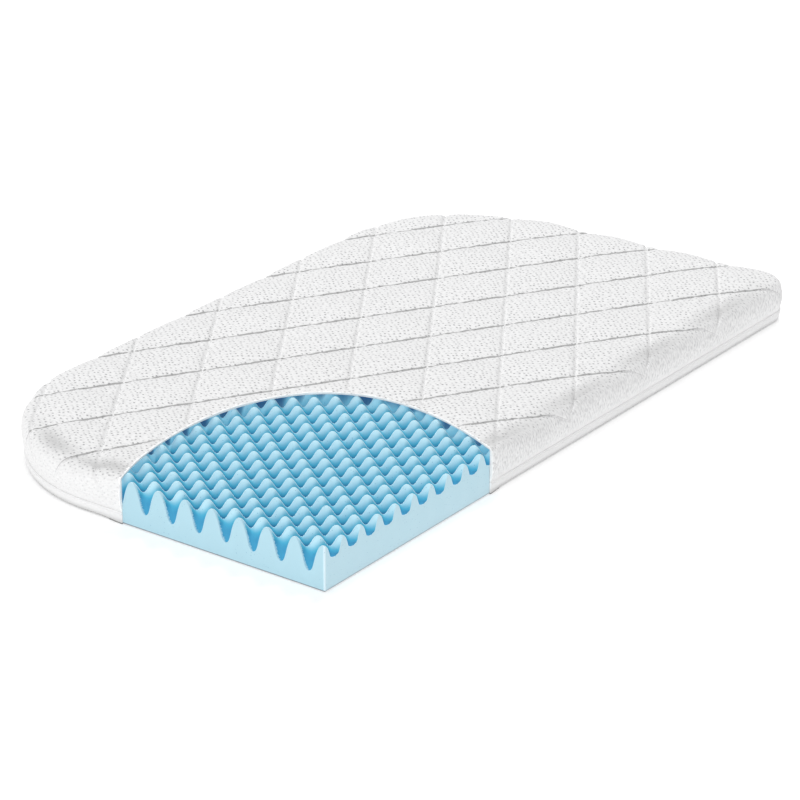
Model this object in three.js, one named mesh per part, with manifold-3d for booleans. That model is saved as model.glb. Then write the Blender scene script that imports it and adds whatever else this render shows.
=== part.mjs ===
// Bedside crib mattress, in millimetres, +Z up, origin under its middle on the surface it lies on.
// A white quilted cover is sewn to a plain base cover, and both are cut away at one corner,
// where the blue foam core with its egg-crate top shows.
import * as THREE from 'three';
import { mergeVertices } from 'three/addons/utils/BufferGeometryUtils.js';
import Module from 'manifold-3d';

const wasm = await Module();
wasm.setup();

// Outline, seen from above: the straight long side lies at -Y, the two large corners at +Y
const LENGTH = 890;
const WIDTH = 490;
const END_LEAN = 13;
const NEAR_RADIUS = 32;
const FAR_RADIUS = 185;
const OUTLINE_STEP = 11;
const FEWEST_ARC_STEPS = 6;

// Heights of the cover
const SEAM_HEIGHT = 13;
const BELLY_HEIGHT = 26;
const CHANNEL_HEIGHT = 50.3;
const PILLOW_RISE = 3.5;

// Side of the cover: drawn in at the seam, widest at the belly, rounded into the top
const SEAM_DRAW = 2.6;
const BELLY_DRAW = 0.65;
const EDGE_RADIUS = 28;
const EDGE_RISE = 31;
const EDGE_STEPS = 6;
const TOP_DROOP = 5;
const DROOP_REACH = 26;

// Beside the cut the core holds the edge up square
const SHOULDER = 0.3;
const SHOULDER_REACH = 85;

// Quilting: a diamond's long diagonal runs along X, its short one along Y
const DIAMOND_LONG = 147.4;
const DIAMOND_SHORT = 94.2;
const DIAMOND_X = 50.4;
const DIAMOND_Y = -18;
const DIAMOND_CELLS = 4;
const PILLOW_POWER = 0.62;
const GROOVE_DEPTH = 3;
const GROOVE_WIDTH = 7;
const GROOVE_END_HEIGHT = 22;

// Base cover: its hem turns up the side to the seam
const BASE_SECTION = [
  { height: 0, inset: 6 },
  { height: 2.6, inset: 3.2 },
  { height: 7.5, inset: 1.9 },
  { height: 11, inset: 1.2 },
  { height: 12.7, inset: 2.8 },
];

// Foam core: a slab with staggered peaks, cut square along its two open faces
const CORE_INSET = 3.6;
const PEAK_HEIGHT = 48.5;
const PIT_HEIGHT = 15;
const PEAK_PITCH_X = 29.4;
const PEAK_PITCH_Y = 34.4;
const PEAK_CELLS = 3;
const FIRST_PEAK_X = 1;
const FIRST_PEAK_Y = 2.5;

// Opening cut in the covers, measured from the core's corner along its two open faces
const CUT_LONG = 278;
const CUT_SHORT = 256;
const CUT_HANDLES = { long: [412, 276], short: [164, 320] };
const CUT_POINTS = 28;
const HIDDEN_CORE = 18;
const HIDDEN_INSET = 15;
const EDGE_TAPER = 16;
const EDGE_PILLOW = 0.3;

const GAP = 0.3;
const OVERLAP = 1;
const BEYOND = 60;
const SAME_POINT = 1e-4;

const CORE_CORNER = new THREE.Vector2(-LENGTH / 2 + CORE_INSET, -WIDTH / 2 + CORE_INSET);
const LEAN_SLOPE = END_LEAN / WIDTH;

// Plain helpers

function smooth(value) {
  const t = Math.min(Math.max(value, 0), 1);
  return t * t * (3 - 2 * t);
}

function makeSolid(geometry) {
  const bare = geometry.index ? geometry.toNonIndexed() : geometry.clone();
  bare.deleteAttribute('normal');
  bare.deleteAttribute('uv');
  const merged = mergeVertices(bare, SAME_POINT);
  return new wasm.Manifold(new wasm.Mesh({
    numProp: 3,
    vertProperties: new Float32Array(merged.attributes.position.array),
    triVerts: new Uint32Array(merged.index.array),
  }));
}

function indexedGeometry(points, triangles) {
  const geometry = new THREE.BufferGeometry();
  geometry.setAttribute('position', new THREE.Float32BufferAttribute(points.flat(), 3));
  geometry.setIndex(triangles.flat());
  return geometry;
}

function solidToMesh(solid, name, material) {
  const { vertProperties, triVerts } = solid.getMesh();
  const geometry = new THREE.BufferGeometry();
  geometry.setAttribute('position', new THREE.BufferAttribute(new Float32Array(vertProperties), 3));
  geometry.setIndex(new THREE.BufferAttribute(new Uint32Array(triVerts), 1));
  geometry.computeVertexNormals();
  const mesh = new THREE.Mesh(geometry, material);
  mesh.name = name;
  return mesh;
}

// Prism over a closed list of plan points, from one height to another
function prism(points, low, high) {
  const shape = new THREE.Shape(points);
  const geometry = new THREE.ExtrudeGeometry(shape, { depth: high - low, bevelEnabled: false });
  geometry.translate(0, 0, low);
  return makeSolid(geometry);
}

// Outline with rounded corners; each point carries its outward normal
function roundedOutline() {
  const corners = [
    { x: -LENGTH / 2, y: -WIDTH / 2, radius: NEAR_RADIUS },
    { x: LENGTH / 2, y: -WIDTH / 2, radius: NEAR_RADIUS },
    { x: LENGTH / 2 - END_LEAN, y: WIDTH / 2, radius: FAR_RADIUS },
    { x: -LENGTH / 2 + END_LEAN, y: WIDTH / 2, radius: FAR_RADIUS },
  ];
  const arcs = corners.map((corner, k) => cornerArc(corners.at(k - 1), corner, corners[(k + 1) % 4]));
  return arcs.flatMap((arc, k) => [...arcPoints(arc), ...sidePoints(arc, arcs[(k + 1) % 4])]);
}

function cornerArc(before, corner, after) {
  const here = new THREE.Vector2(corner.x, corner.y);
  const arriving = here.clone().sub(new THREE.Vector2(before.x, before.y)).normalize();
  const leaving = new THREE.Vector2(after.x, after.y).sub(here).normalize();
  const turn = Math.acos(arriving.dot(leaving));
  const start = here.clone().addScaledVector(arriving, -corner.radius * Math.tan(turn / 2));
  const inward = new THREE.Vector2(-arriving.y, arriving.x);
  const centre = start.clone().addScaledVector(inward, corner.radius);
  return { centre, radius: corner.radius, from: Math.atan2(-inward.y, -inward.x), turn };
}

function arcPoints({ centre, radius, from, turn }) {
  const steps = Math.max(FEWEST_ARC_STEPS, Math.round(radius * turn / OUTLINE_STEP));
  return Array.from({ length: steps + 1 }, (_, k) => outlinePoint(centre, radius, from + turn * k / steps));
}

function outlinePoint(centre, radius, angle) {
  const normal = new THREE.Vector2(Math.cos(angle), Math.sin(angle));
  return { place: centre.clone().addScaledVector(normal, radius), normal };
}

function sidePoints(arc, next) {
  const start = outlinePoint(arc.centre, arc.radius, arc.from + arc.turn);
  const end = outlinePoint(next.centre, next.radius, next.from);
  const steps = Math.round(start.place.distanceTo(end.place) / OUTLINE_STEP);
  return Array.from({ length: steps - 1 }, (_, k) => ({
    place: start.place.clone().lerp(end.place, (k + 1) / steps),
    normal: start.normal,
  }));
}

// Closed solid through rings of equal length, each a list of [x, y, z] from the lowest up
function ringSolid(rings) {
  const count = rings[0].length;
  const points = rings.flat();
  const triangles = [];
  for (let ring = 0; ring + 1 < rings.length; ring += 1) {
    for (let k = 0; k < count; k += 1) {
      const a = ring * count + k;
      const b = ring * count + (k + 1) % count;
      triangles.push([a, b, b + count], [a, b + count, a + count]);
    }
  }
  const low = points.push([0, 0, rings[0][0][2]]) - 1;
  const high = points.push([0, 0, rings.at(-1)[0][2]]) - 1;
  const lastRing = (rings.length - 1) * count;
  for (let k = 0; k < count; k += 1) {
    const next = (k + 1) % count;
    triangles.push([low, next, k], [high, lastRing + k, lastRing + next]);
  }
  return makeSolid(indexedGeometry(points, triangles));
}

// Closed solid under a height field on a plan grid. Each cell's diagonal follows the lines that
// join the lattice's nodes, so that ridges and channels stay sharp.
function fieldSolid({ columns, rows, cells, placeAt, heightAt, bottom }) {
  const across = columns + 1;
  const points = [];
  for (const level of [heightAt, () => bottom]) {
    for (let row = 0; row <= rows; row += 1) {
      for (let column = 0; column <= columns; column += 1) {
        const [x, y] = placeAt(column, row);
        points.push([x, y, level(x, y, column, row)]);
      }
    }
  }
  const under = across * (rows + 1);
  const triangles = [];
  const addWall = (a, b) => triangles.push([a, a + under, b + under], [a, b + under, b]);
  for (let row = 0; row < rows; row += 1) {
    for (let column = 0; column < columns; column += 1) {
      const a = row * across + column;
      const [b, c, d] = [a + 1, a + across + 1, a + across];
      const rising = (Math.floor(column / cells) + Math.floor(row / cells)) % 2 === 0;
      const pair = rising ? [[a, b, c], [a, c, d]] : [[a, b, d], [b, c, d]];
      for (const [p, q, r] of pair) {
        triangles.push([p, q, r], [p + under, r + under, q + under]);
      }
    }
    addWall((row + 1) * across, row * across);
    addWall(row * across + columns, (row + 1) * across + columns);
  }
  for (let column = 0; column < columns; column += 1) {
    addWall(column, column + 1);
    addWall(rows * across + column + 1, rows * across + column);
  }
  return makeSolid(indexedGeometry(points, triangles));
}

// The opening cut in the covers

function fromCoreCorner(x, y) {
  return new THREE.Vector2(CORE_CORNER.x + x + LEAN_SLOPE * y, CORE_CORNER.y + y);
}

const cutCurve = new THREE.CubicBezierCurve(
  fromCoreCorner(CUT_LONG, 0),
  fromCoreCorner(...CUT_HANDLES.long),
  fromCoreCorner(...CUT_HANDLES.short),
  fromCoreCorner(0, CUT_SHORT),
);
const cutPoints = cutCurve.getPoints(CUT_POINTS);
const [cutStart, cutEnd] = [cutPoints[0], cutPoints.at(-1)];

function openingOutline() {
  const outside = new THREE.Vector2(-LENGTH / 2 - BEYOND, -WIDTH / 2 - BEYOND);
  return [
    outside,
    new THREE.Vector2(cutStart.x, outside.y),
    ...cutPoints,
    new THREE.Vector2(outside.x, cutEnd.y),
  ];
}

// The cut moved outwards, into the covers, by a distance
function besideCut(distance) {
  return cutPoints.map((point, k) => {
    const tangent = cutCurve.getTangent(k / CUT_POINTS);
    return point.clone().addScaledVector(new THREE.Vector2(tangent.y, -tangent.x), distance);
  });
}

// First points of a line up to the place where a measure reaches zero
function upToZero(points, measure) {
  const next = points.findIndex((point) => measure(point) >= 0);
  const [low, high] = [measure(points[next - 1]), measure(points[next])];
  return [...points.slice(0, next), points[next - 1].clone().lerp(points[next], low / (low - high))];
}

// Plan of the core: open faces at the corner, and a hidden rim under the covers' cut edge
function coreOutline(gap) {
  const fromSide = (point) => point.y - (-WIDTH / 2 + HIDDEN_INSET + gap);
  const fromEnd = (point) => point.x - LEAN_SLOPE * (point.y + WIDTH / 2) - (-LENGTH / 2 + HIDDEN_INSET + gap);
  const lip = besideCut(-gap);
  const rim = besideCut(HIDDEN_CORE - gap);
  return [
    CORE_CORNER,
    new THREE.Vector2(cutStart.x - gap, cutStart.y),
    ...upToZero(lip, fromSide).slice(1),
    upToZero(rim, fromSide).at(-1),
    ...rim.filter((point) => fromSide(point) > 0 && fromEnd(point) > 0),
    upToZero(rim.toReversed(), fromEnd).at(-1),
    ...upToZero(lip.toReversed(), fromEnd).slice(1).reverse(),
    new THREE.Vector2(cutEnd.x - LEAN_SLOPE * gap, cutEnd.y - gap),
  ];
}

function distanceToCut(x, y) {
  return Math.min(...cutPoints.map((point) => Math.hypot(point.x - x, point.y - y)));
}

// Quilting

// Place in the lattice: channels run where either value is a whole number
function quiltPlace(x, y) {
  const along = (x - DIAMOND_X) / DIAMOND_LONG;
  const across = (y - DIAMOND_Y) / DIAMOND_SHORT;
  return [along + across, along - across];
}

function pillowShape(x, y) {
  const [p, q] = quiltPlace(x, y);
  return Math.abs(Math.sin(Math.PI * p) * Math.sin(Math.PI * q)) ** PILLOW_POWER;
}

function grooveShape(x, y) {
  const spacing = DIAMOND_LONG * DIAMOND_SHORT / Math.hypot(DIAMOND_LONG, DIAMOND_SHORT);
  const distance = Math.min(...quiltPlace(x, y).map((value) => Math.abs(value - Math.round(value)))) * spacing;
  return Math.exp(-((distance / GROOVE_WIDTH) ** 2));
}

function distanceToEdge(x, y) {
  const inX = LENGTH / 2 - LEAN_SLOPE * (y + WIDTH / 2) - Math.abs(x);
  const inY = WIDTH / 2 - Math.abs(y);
  const radius = y > 0 ? FAR_RADIUS : NEAR_RADIUS;
  if (inX < radius && inY < radius) {
    return radius - Math.hypot(radius - inX, radius - inY);
  }
  return Math.min(inX, inY);
}

function quiltHeight(x, y) {
  const edge = Math.max(distanceToEdge(x, y), 0);
  const nearCut = smooth(distanceToCut(x, y) / EDGE_TAPER);
  const rise = PILLOW_RISE * (EDGE_PILLOW + (1 - EDGE_PILLOW) * nearCut);
  const held = smooth(distanceToCut(x, y) / SHOULDER_REACH);
  return CHANNEL_HEIGHT + rise * pillowShape(x, y) - TOP_DROOP * held * Math.exp(-edge / DROOP_REACH);
}

function quiltedTop() {
  const stepX = DIAMOND_LONG / 2 / DIAMOND_CELLS;
  const stepY = DIAMOND_SHORT / 2 / DIAMOND_CELLS;
  const half = (reach, origin, size) => Math.ceil((reach + origin) / size);
  const diamondsLeft = 2 * Math.ceil(half(LENGTH / 2, DIAMOND_X, DIAMOND_LONG / 2) / 2);
  const diamondsDown = 2 * Math.ceil(half(WIDTH / 2, DIAMOND_Y, DIAMOND_SHORT / 2) / 2);
  const left = DIAMOND_X - diamondsLeft * DIAMOND_LONG / 2;
  const down = DIAMOND_Y - diamondsDown * DIAMOND_SHORT / 2;
  return fieldSolid({
    columns: Math.ceil((LENGTH / 2 - left) / stepX) + 1,
    rows: Math.ceil((WIDTH / 2 - down) / stepY) + 1,
    cells: DIAMOND_CELLS,
    placeAt: (column, row) => [left + column * stepX, down + row * stepY],
    heightAt: quiltHeight,
    bottom: SEAM_HEIGHT - OVERLAP,
  });
}

// Rings of the cover's side, from the seam over the belly and round the edge
function coverBody() {
  const section = [
    { angle: 0, height: SEAM_HEIGHT, inset: SEAM_DRAW },
    { angle: 0, height: (SEAM_HEIGHT + BELLY_HEIGHT) / 2, inset: BELLY_DRAW },
  ];
  for (let step = 0; step <= EDGE_STEPS; step += 1) {
    const angle = Math.PI / 2 * step / EDGE_STEPS;
    section.push({
      angle,
      height: BELLY_HEIGHT + EDGE_RISE * Math.sin(angle),
      inset: EDGE_RADIUS * (1 - Math.cos(angle)),
    });
  }
  const outline = roundedOutline();
  return ringSolid(section.map((level) => outline.map((point) => coverPoint(point, level))));
}

function coverPoint({ place, normal }, { angle, height, inset }) {
  const fromCut = Math.min(place.distanceTo(cutStart), place.distanceTo(cutEnd));
  const square = SHOULDER + (1 - SHOULDER) * smooth(fromCut / SHOULDER_REACH);
  const clothReach = EDGE_RADIUS * (Math.PI / 2 - angle) - EDGE_RADIUS + Math.max(BELLY_HEIGHT - height, 0);
  const cloth = place.clone().addScaledVector(normal, clothReach);
  const fade = smooth((height - GROOVE_END_HEIGHT) / (CHANNEL_HEIGHT - GROOVE_END_HEIGHT));
  const groove = GROOVE_DEPTH * fade * grooveShape(cloth.x, cloth.y);
  const inward = (angle > 0 ? inset * square : inset) + groove * Math.cos(angle);
  const at = place.clone().addScaledVector(normal, -inward);
  return [at.x, at.y, height - groove * Math.sin(angle)];
}

function quiltedCover() {
  return coverBody()
    .intersect(quiltedTop())
    .subtract(prism(openingOutline(), 0, BEYOND))
    .subtract(prism(coreOutline(0), 0, PEAK_HEIGHT + GAP));
}

function baseCover() {
  const outline = roundedOutline();
  const rings = BASE_SECTION.map(({ height, inset }) => outline.map(({ place, normal }) => {
    const at = place.clone().addScaledVector(normal, -inset);
    return [at.x, at.y, height];
  }));
  return ringSolid(rings)
    .subtract(prism(openingOutline(), -OVERLAP, SEAM_HEIGHT))
    .subtract(prism(coreOutline(0), -OVERLAP, SEAM_HEIGHT));
}

// Foam core

function foamHeight(_x, _y, column, row) {
  const wave = Math.cos(Math.PI * column / PEAK_CELLS) * Math.cos(Math.PI * row / PEAK_CELLS);
  return (PEAK_HEIGHT + PIT_HEIGHT) / 2 + (PEAK_HEIGHT - PIT_HEIGHT) / 2 * wave;
}

function foamCore() {
  const stepX = PEAK_PITCH_X / 2 / PEAK_CELLS;
  const stepY = PEAK_PITCH_Y / 2 / PEAK_CELLS;
  const start = { x: FIRST_PEAK_X - PEAK_PITCH_X, y: FIRST_PEAK_Y - PEAK_PITCH_Y };
  const reach = new THREE.Box2().setFromPoints(besideCut(HIDDEN_CORE)).max.sub(CORE_CORNER);
  const egg = fieldSolid({
    columns: Math.ceil((reach.x - start.x) / stepX),
    rows: Math.ceil((reach.y - start.y) / stepY),
    cells: PEAK_CELLS,
    placeAt: (column, row) => fromCoreCorner(start.x + column * stepX, start.y + row * stepY).toArray(),
    heightAt: foamHeight,
    bottom: -OVERLAP,
  });
  return egg.intersect(prism(coreOutline(GAP), 0, BEYOND));
}

// Materials and the finished mattress

const quiltedKnit = new THREE.MeshStandardMaterial({ color: 0xf3f3f4, roughness: 0.92, metalness: 0 });
const plainKnit = new THREE.MeshStandardMaterial({ color: 0xf5f5f6, roughness: 0.88, metalness: 0 });
const blueFoam = new THREE.MeshStandardMaterial({ color: 0x8ccae8, roughness: 0.8, metalness: 0 });

const mattress = new THREE.Group();
mattress.add(
  solidToMesh(quiltedCover(), 'quilted_cover', quiltedKnit),
  solidToMesh(baseCover(), 'base_cover', plainKnit),
  solidToMesh(foamCore(), 'foam_core', blueFoam),
);

// The open core stops short of the covers' outline, so the whole is moved to its own middle
const bounds = new THREE.Box3().setFromObject(mattress);
mattress.position.x = -(bounds.min.x + bounds.max.x) / 2;

export default mattress;
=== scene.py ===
"""Bedside crib mattress: a quilted cover on a plain base cover, cut away at a corner over a blue foam core.

Everything is in metres. The plan is drawn with the mattress's outline centred on the origin, and each
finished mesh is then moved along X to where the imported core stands.
"""

import logging
import math
from dataclasses import dataclass, field
from enum import Enum
from functools import reduce

import bmesh
import bpy
import numpy as np
from bpy.types import Material, Mesh, Node, NodeSocket, NodeTree, Object, bpy_prop_collection
from mathutils import Matrix, Vector, geometry
from numpy import ndarray


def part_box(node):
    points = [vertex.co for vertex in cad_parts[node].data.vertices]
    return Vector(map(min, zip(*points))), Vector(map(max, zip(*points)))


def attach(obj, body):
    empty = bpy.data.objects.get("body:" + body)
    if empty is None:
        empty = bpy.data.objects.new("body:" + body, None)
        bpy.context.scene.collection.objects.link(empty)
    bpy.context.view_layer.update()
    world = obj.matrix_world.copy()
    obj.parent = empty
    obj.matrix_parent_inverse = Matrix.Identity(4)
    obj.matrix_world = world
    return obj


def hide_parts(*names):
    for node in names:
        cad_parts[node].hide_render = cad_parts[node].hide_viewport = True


Pair = tuple[float, float]
Triple = tuple[float, float, float]
Edges = list[tuple[int, int]]
Faces = list[tuple[int, ...]]

log = logging.getLogger("mattress")
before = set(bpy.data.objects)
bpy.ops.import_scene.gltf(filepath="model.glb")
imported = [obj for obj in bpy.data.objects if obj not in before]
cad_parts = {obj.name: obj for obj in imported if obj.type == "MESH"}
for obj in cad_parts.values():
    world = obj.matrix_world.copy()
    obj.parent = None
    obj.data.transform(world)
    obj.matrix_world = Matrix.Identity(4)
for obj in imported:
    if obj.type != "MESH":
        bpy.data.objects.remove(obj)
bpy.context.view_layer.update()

MM = 0.001
BODY = "root"
SMALLEST_AREA = 1e-9
TINY = 1e-9
SAME_POINT = 1e-8
SPARSE = 6


class Socket(Enum):
    """Kinds of socket that a node group's interface uses."""

    NUMBER = "NodeSocketFloat"
    COUNT = "NodeSocketInt"
    VECTOR = "NodeSocketVector"
    MATERIAL = "NodeSocketMaterial"
    GEOMETRY = "NodeSocketGeometry"


class Family(Enum):
    """The two directions in which quilting lines run."""

    FALLING = 0
    RISING = 1


# Plain helpers


def smooth(value: ndarray) -> ndarray:
    """Eases a value from 0 to 1, and holds it outside that range."""
    t = np.clip(value, 0.0, 1.0)
    return t * t * (3.0 - 2.0 * t)


def eased(value: ndarray, start: float, end: float) -> ndarray:
    """Eases from 0 at one value to 1 at another, and holds it outside them."""
    return smooth((value - start) / (end - start))


def soft_min(one: ndarray, other: ndarray, reach: float) -> ndarray:
    """The lower of two values, with the step between them rounded.

    Args:
        one: First values.
        other: Second values.
        reach: Difference within which the two are blended.

    Returns:
        The blended lower values.
    """
    near = np.maximum(reach - np.abs(one - other), 0.0) / reach
    return np.minimum(one, other) - near * near * reach / 4.0


def line_distance(at: ndarray, line: ndarray) -> ndarray:
    """Distance from points to an open line.

    Args:
        at: Places, one row each.
        line: The line's points in order.

    Returns:
        One distance for each place.
    """
    best = np.full(len(at), np.inf)
    for start, end in zip(line[:-1], line[1:]):
        run = end - start
        t = np.clip(((at - start) @ run) / (run @ run), 0.0, 1.0)
        best = np.minimum(best, np.hypot(*(at - start - t[:, None] * run).T))
    return best


def inside_polygon(at: ndarray, polygon: ndarray) -> ndarray:
    """Whether places lie inside a closed polygon.

    Args:
        at: Places, one row each.
        polygon: The polygon's corners in order.

    Returns:
        One truth value for each place.
    """
    inside = np.zeros(len(at), bool)
    for (ax, ay), (bx, by) in zip(polygon, np.roll(polygon, -1, axis=0)):
        crosses = (ay > at[:, 1]) != (by > at[:, 1])
        if ay != by:
            inside ^= crosses & (at[:, 0] < ax + (bx - ax) * (at[:, 1] - ay) / (by - ay))
    return inside


def triangle_area(corners: ndarray) -> float:
    """Area of a plan triangle, counter-clockwise ones being positive."""
    (ax, ay), (bx, by), (cx, cy) = corners
    return 0.5 * ((bx - ax) * (cy - ay) - (cx - ax) * (by - ay))


def spaced(line: ndarray, step: float) -> ndarray:
    """The same line with even steps.

    Args:
        line: Points in order.
        step: Wanted distance between points.

    Returns:
        Points along the line, its two ends among them.
    """
    run = np.concatenate([[0.0], np.cumsum(np.hypot(*np.diff(line, axis=0).T))])
    count = max(2, int(round(run[-1] / step)) + 1)
    at = np.linspace(0.0, run[-1], count)
    return np.stack([np.interp(at, run, column) for column in line.T], axis=1)


def new_piece(name: str, places: ndarray, faces: Faces) -> Object:
    """Makes a smooth mesh object at the origin and links it to the scene.

    Args:
        name: The object's name.
        places: Points, one row each.
        faces: Point numbers round each face.

    Returns:
        The new object.
    """
    mesh = bpy.data.meshes.new(name)
    mesh.from_pydata(places.tolist(), [], [list(face) for face in faces])
    mesh.polygons.foreach_set("use_smooth", [True] * len(mesh.polygons))
    mesh.update()
    return linked(name, mesh)


def linked(name: str, data: bpy.types.ID) -> Object:
    """Makes an object of a mesh, light or camera and links it to the scene.

    Args:
        name: The object's name.
        data: What it shows.

    Returns:
        The new object.
    """
    made = bpy.data.objects.new(name, data)
    bpy.context.scene.collection.objects.link(made)
    return made


def rows_of(items: bpy_prop_collection, name: str, width: int) -> ndarray:
    """Reads one value of all the items of a collection.

    Args:
        items: A mesh's points, normals, corners or stored values.
        name: Name of the value.
        width: How many numbers it has.

    Returns:
        One row of numbers for each item.
    """
    values = np.empty(len(items) * width, np.float32)
    items.foreach_get(name, values)
    return values.reshape(-1, width).astype(float)


def mesh_points(mesh: Mesh) -> ndarray:
    """A mesh's points as rows."""
    return rows_of(mesh.vertices, "co", 3)


def mesh_normals(mesh: Mesh) -> ndarray:
    """A mesh's normals at its points, as rows."""
    return rows_of(mesh.vertex_normals, "vector", 3)


def store(mesh: Mesh, name: str, values: ndarray, domain: str = "POINT") -> None:
    """Stores one number for each point, edge or face of a mesh, under a name that materials can read."""
    mesh.attributes.new(name, "FLOAT", domain).data.foreach_set("value", values.astype(np.float32))


def evaluated_mesh(piece: Object) -> Mesh:
    """A plain mesh of what a piece's modifiers make."""
    graph = bpy.context.evaluated_depsgraph_get()
    return bpy.data.meshes.new_from_object(piece.evaluated_get(graph), preserve_all_data_layers=True,
                                           depsgraph=graph)


def keep_evaluated(piece: Object) -> None:
    """Gives a piece the plain mesh that its modifiers make, and removes them.

    Args:
        piece: The piece.
    """
    mesh = evaluated_mesh(piece)
    piece.modifiers.clear()
    old, piece.data = piece.data, mesh
    bpy.data.meshes.remove(old)


# The plan of the mattress


@dataclass(frozen=True)
class Plan:
    """Sizes of the covers and the core, seen from above and from the side."""

    length: float = 0.890
    width: float = 0.490
    end_lean: float = 0.013
    near_radius: float = 0.032
    far_radius: float = 0.185
    seam_height: float = 0.013
    belly_height: float = 0.026
    channel_height: float = 0.0503
    seam_draw: float = 0.0026
    edge_radius: float = 0.028
    edge_rise: float = 0.031
    top_droop: float = 0.005
    droop_reach: float = 0.026
    shoulder: float = 0.16
    shoulder_reach: float = 0.085
    core_inset: float = 0.0036
    core_clearance: float = 0.0003
    cut_long: float = 0.278
    cut_short: float = 0.256
    handle_long: Pair = (0.412, 0.276)
    handle_short: Pair = (0.164, 0.320)
    hidden_core: float = 0.018

    @property
    def lean_slope(self) -> float:
        """How far the ends lean for each metre of width."""
        return self.end_lean / self.width

    @property
    def end_facing(self) -> ndarray:
        """Plan direction that the left end faces."""
        lean = math.atan(self.lean_slope)
        return np.array([-math.cos(lean), math.sin(lean)])

    @property
    def core_corner(self) -> ndarray:
        """Plan place of the core's open corner."""
        return np.array([-self.length / 2 + self.core_inset, -self.width / 2 + self.core_inset])

    def from_core(self, x: float | ndarray, y: float | ndarray) -> ndarray:
        """Plan place measured along the core's two open faces."""
        corner = self.core_corner
        return np.stack(np.broadcast_arrays(corner[0] + x + self.lean_slope * y, corner[1] + y), axis=-1)

    @property
    def shift(self) -> Vector:
        """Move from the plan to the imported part, whose core corner stands where the frame says."""
        return Vector((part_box("foam_core")[0].x - self.core_corner[0], 0.0, 0.0))


@dataclass(frozen=True)
class Arc:
    """One round corner of the outline."""

    centre: ndarray
    radius: float
    start: float
    turn: float

    def point(self, angle: float) -> ndarray:
        """Place on the arc at an angle."""
        return self.centre + self.radius * np.array([math.cos(angle), math.sin(angle)])


class Outline:
    """The covers' plan outline: four sides joined by four arcs, counter-clockwise.

    Each arc has at least ARC_STEPS steps.
    """

    ARC_STEPS = 8

    def __init__(self, plan: Plan) -> None:
        """Works out the arcs and sides from the plan.

        Args:
            plan: The mattress's sizes.
        """
        half, deep, lean = plan.length / 2, plan.width / 2, plan.end_lean
        corners = [
            (-half, -deep, plan.near_radius),
            (half, -deep, plan.near_radius),
            (half - lean, deep, plan.far_radius),
            (-half + lean, deep, plan.far_radius),
        ]
        self.arcs = [self._arc(corners[k - 1], corners[k], corners[(k + 1) % 4]) for k in range(4)]
        self.sides = [self._side(self.arcs[k], self.arcs[(k + 1) % 4]) for k in range(4)]

    @staticmethod
    def _arc(before: tuple, corner: tuple, after: tuple) -> Arc:
        """The arc that rounds one corner.

        Args:
            before: The corner before it, whose first two values are its place.
            corner: The corner's place and radius.
            after: The corner after it.

        Returns:
            The arc.
        """
        here, radius = np.array(corner[:2]), corner[2]
        arriving = here - np.array(before[:2])
        leaving = np.array(after[:2]) - here
        arriving, leaving = arriving / np.hypot(*arriving), leaving / np.hypot(*leaving)
        turn = math.acos(arriving @ leaving)
        inward = np.array([-arriving[1], arriving[0]])
        centre = here - arriving * radius * math.tan(turn / 2) + inward * radius
        return Arc(centre, radius, math.atan2(-inward[1], -inward[0]), turn)

    @staticmethod
    def _side(arc: Arc, following: Arc) -> tuple[ndarray, ndarray]:
        """The straight side between two arcs."""
        return arc.point(arc.start + arc.turn), following.point(following.start)

    def nearest(self, at: ndarray) -> tuple[ndarray, ndarray, ndarray]:
        """Nearest places on the outline.

        Args:
            at: Plan places, one row each.

        Returns:
            How far outside each place is (inside counts as negative), the nearest place and the normal there.
        """
        outside = np.full(len(at), -np.inf)
        foot, normal = np.zeros_like(at), np.zeros_like(at)

        def take(where: ndarray, distance: ndarray, place: ndarray, facing: ndarray) -> None:
            """Keeps what is nearer than the nearest so far."""
            nearer = where & (np.abs(distance) < np.abs(outside))
            outside[nearer], foot[nearer], normal[nearer] = distance[nearer], place[nearer], facing[nearer]

        for arc in self.arcs:
            ray = at - arc.centre
            far = np.maximum(np.hypot(*ray.T), TINY)
            facing = ray / far[:, None]
            angle = (np.arctan2(ray[:, 1], ray[:, 0]) - arc.start) % (2 * math.pi)
            take(angle <= arc.turn, far - arc.radius, arc.centre + facing * arc.radius, facing)
        for start, end in self.sides:
            run = end - start
            along = ((at - start) @ run) / (run @ run)
            facing = np.array([run[1], -run[0]]) / np.hypot(*run)
            place = start + along[:, None] * run
            take((along >= 0) & (along <= 1), (at - start) @ facing, place, np.broadcast_to(facing, at.shape))
        return outside, foot, normal

    def walk(self, step: float) -> tuple[ndarray, ndarray]:
        """Points round the whole outline, counter-clockwise from the near left arc.

        Args:
            step: Wanted distance between points.

        Returns:
            The points and their normals, one row each.
        """
        places, normals = [], []
        for arc, (start, end) in zip(self.arcs, self.sides):
            count = max(self.ARC_STEPS, int(round(arc.radius * arc.turn / step)))
            for angle in arc.start + arc.turn * np.arange(count + 1) / count:
                places.append(arc.point(angle))
                normals.append((math.cos(angle), math.sin(angle)))
            run = end - start
            facing = np.array([run[1], -run[0]]) / np.hypot(*run)
            count = int(round(np.hypot(*run) / step))
            for t in np.arange(1, count) / count:
                places.append(start + t * run)
                normals.append(facing)
        return np.array(places), np.array(normals)


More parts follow.
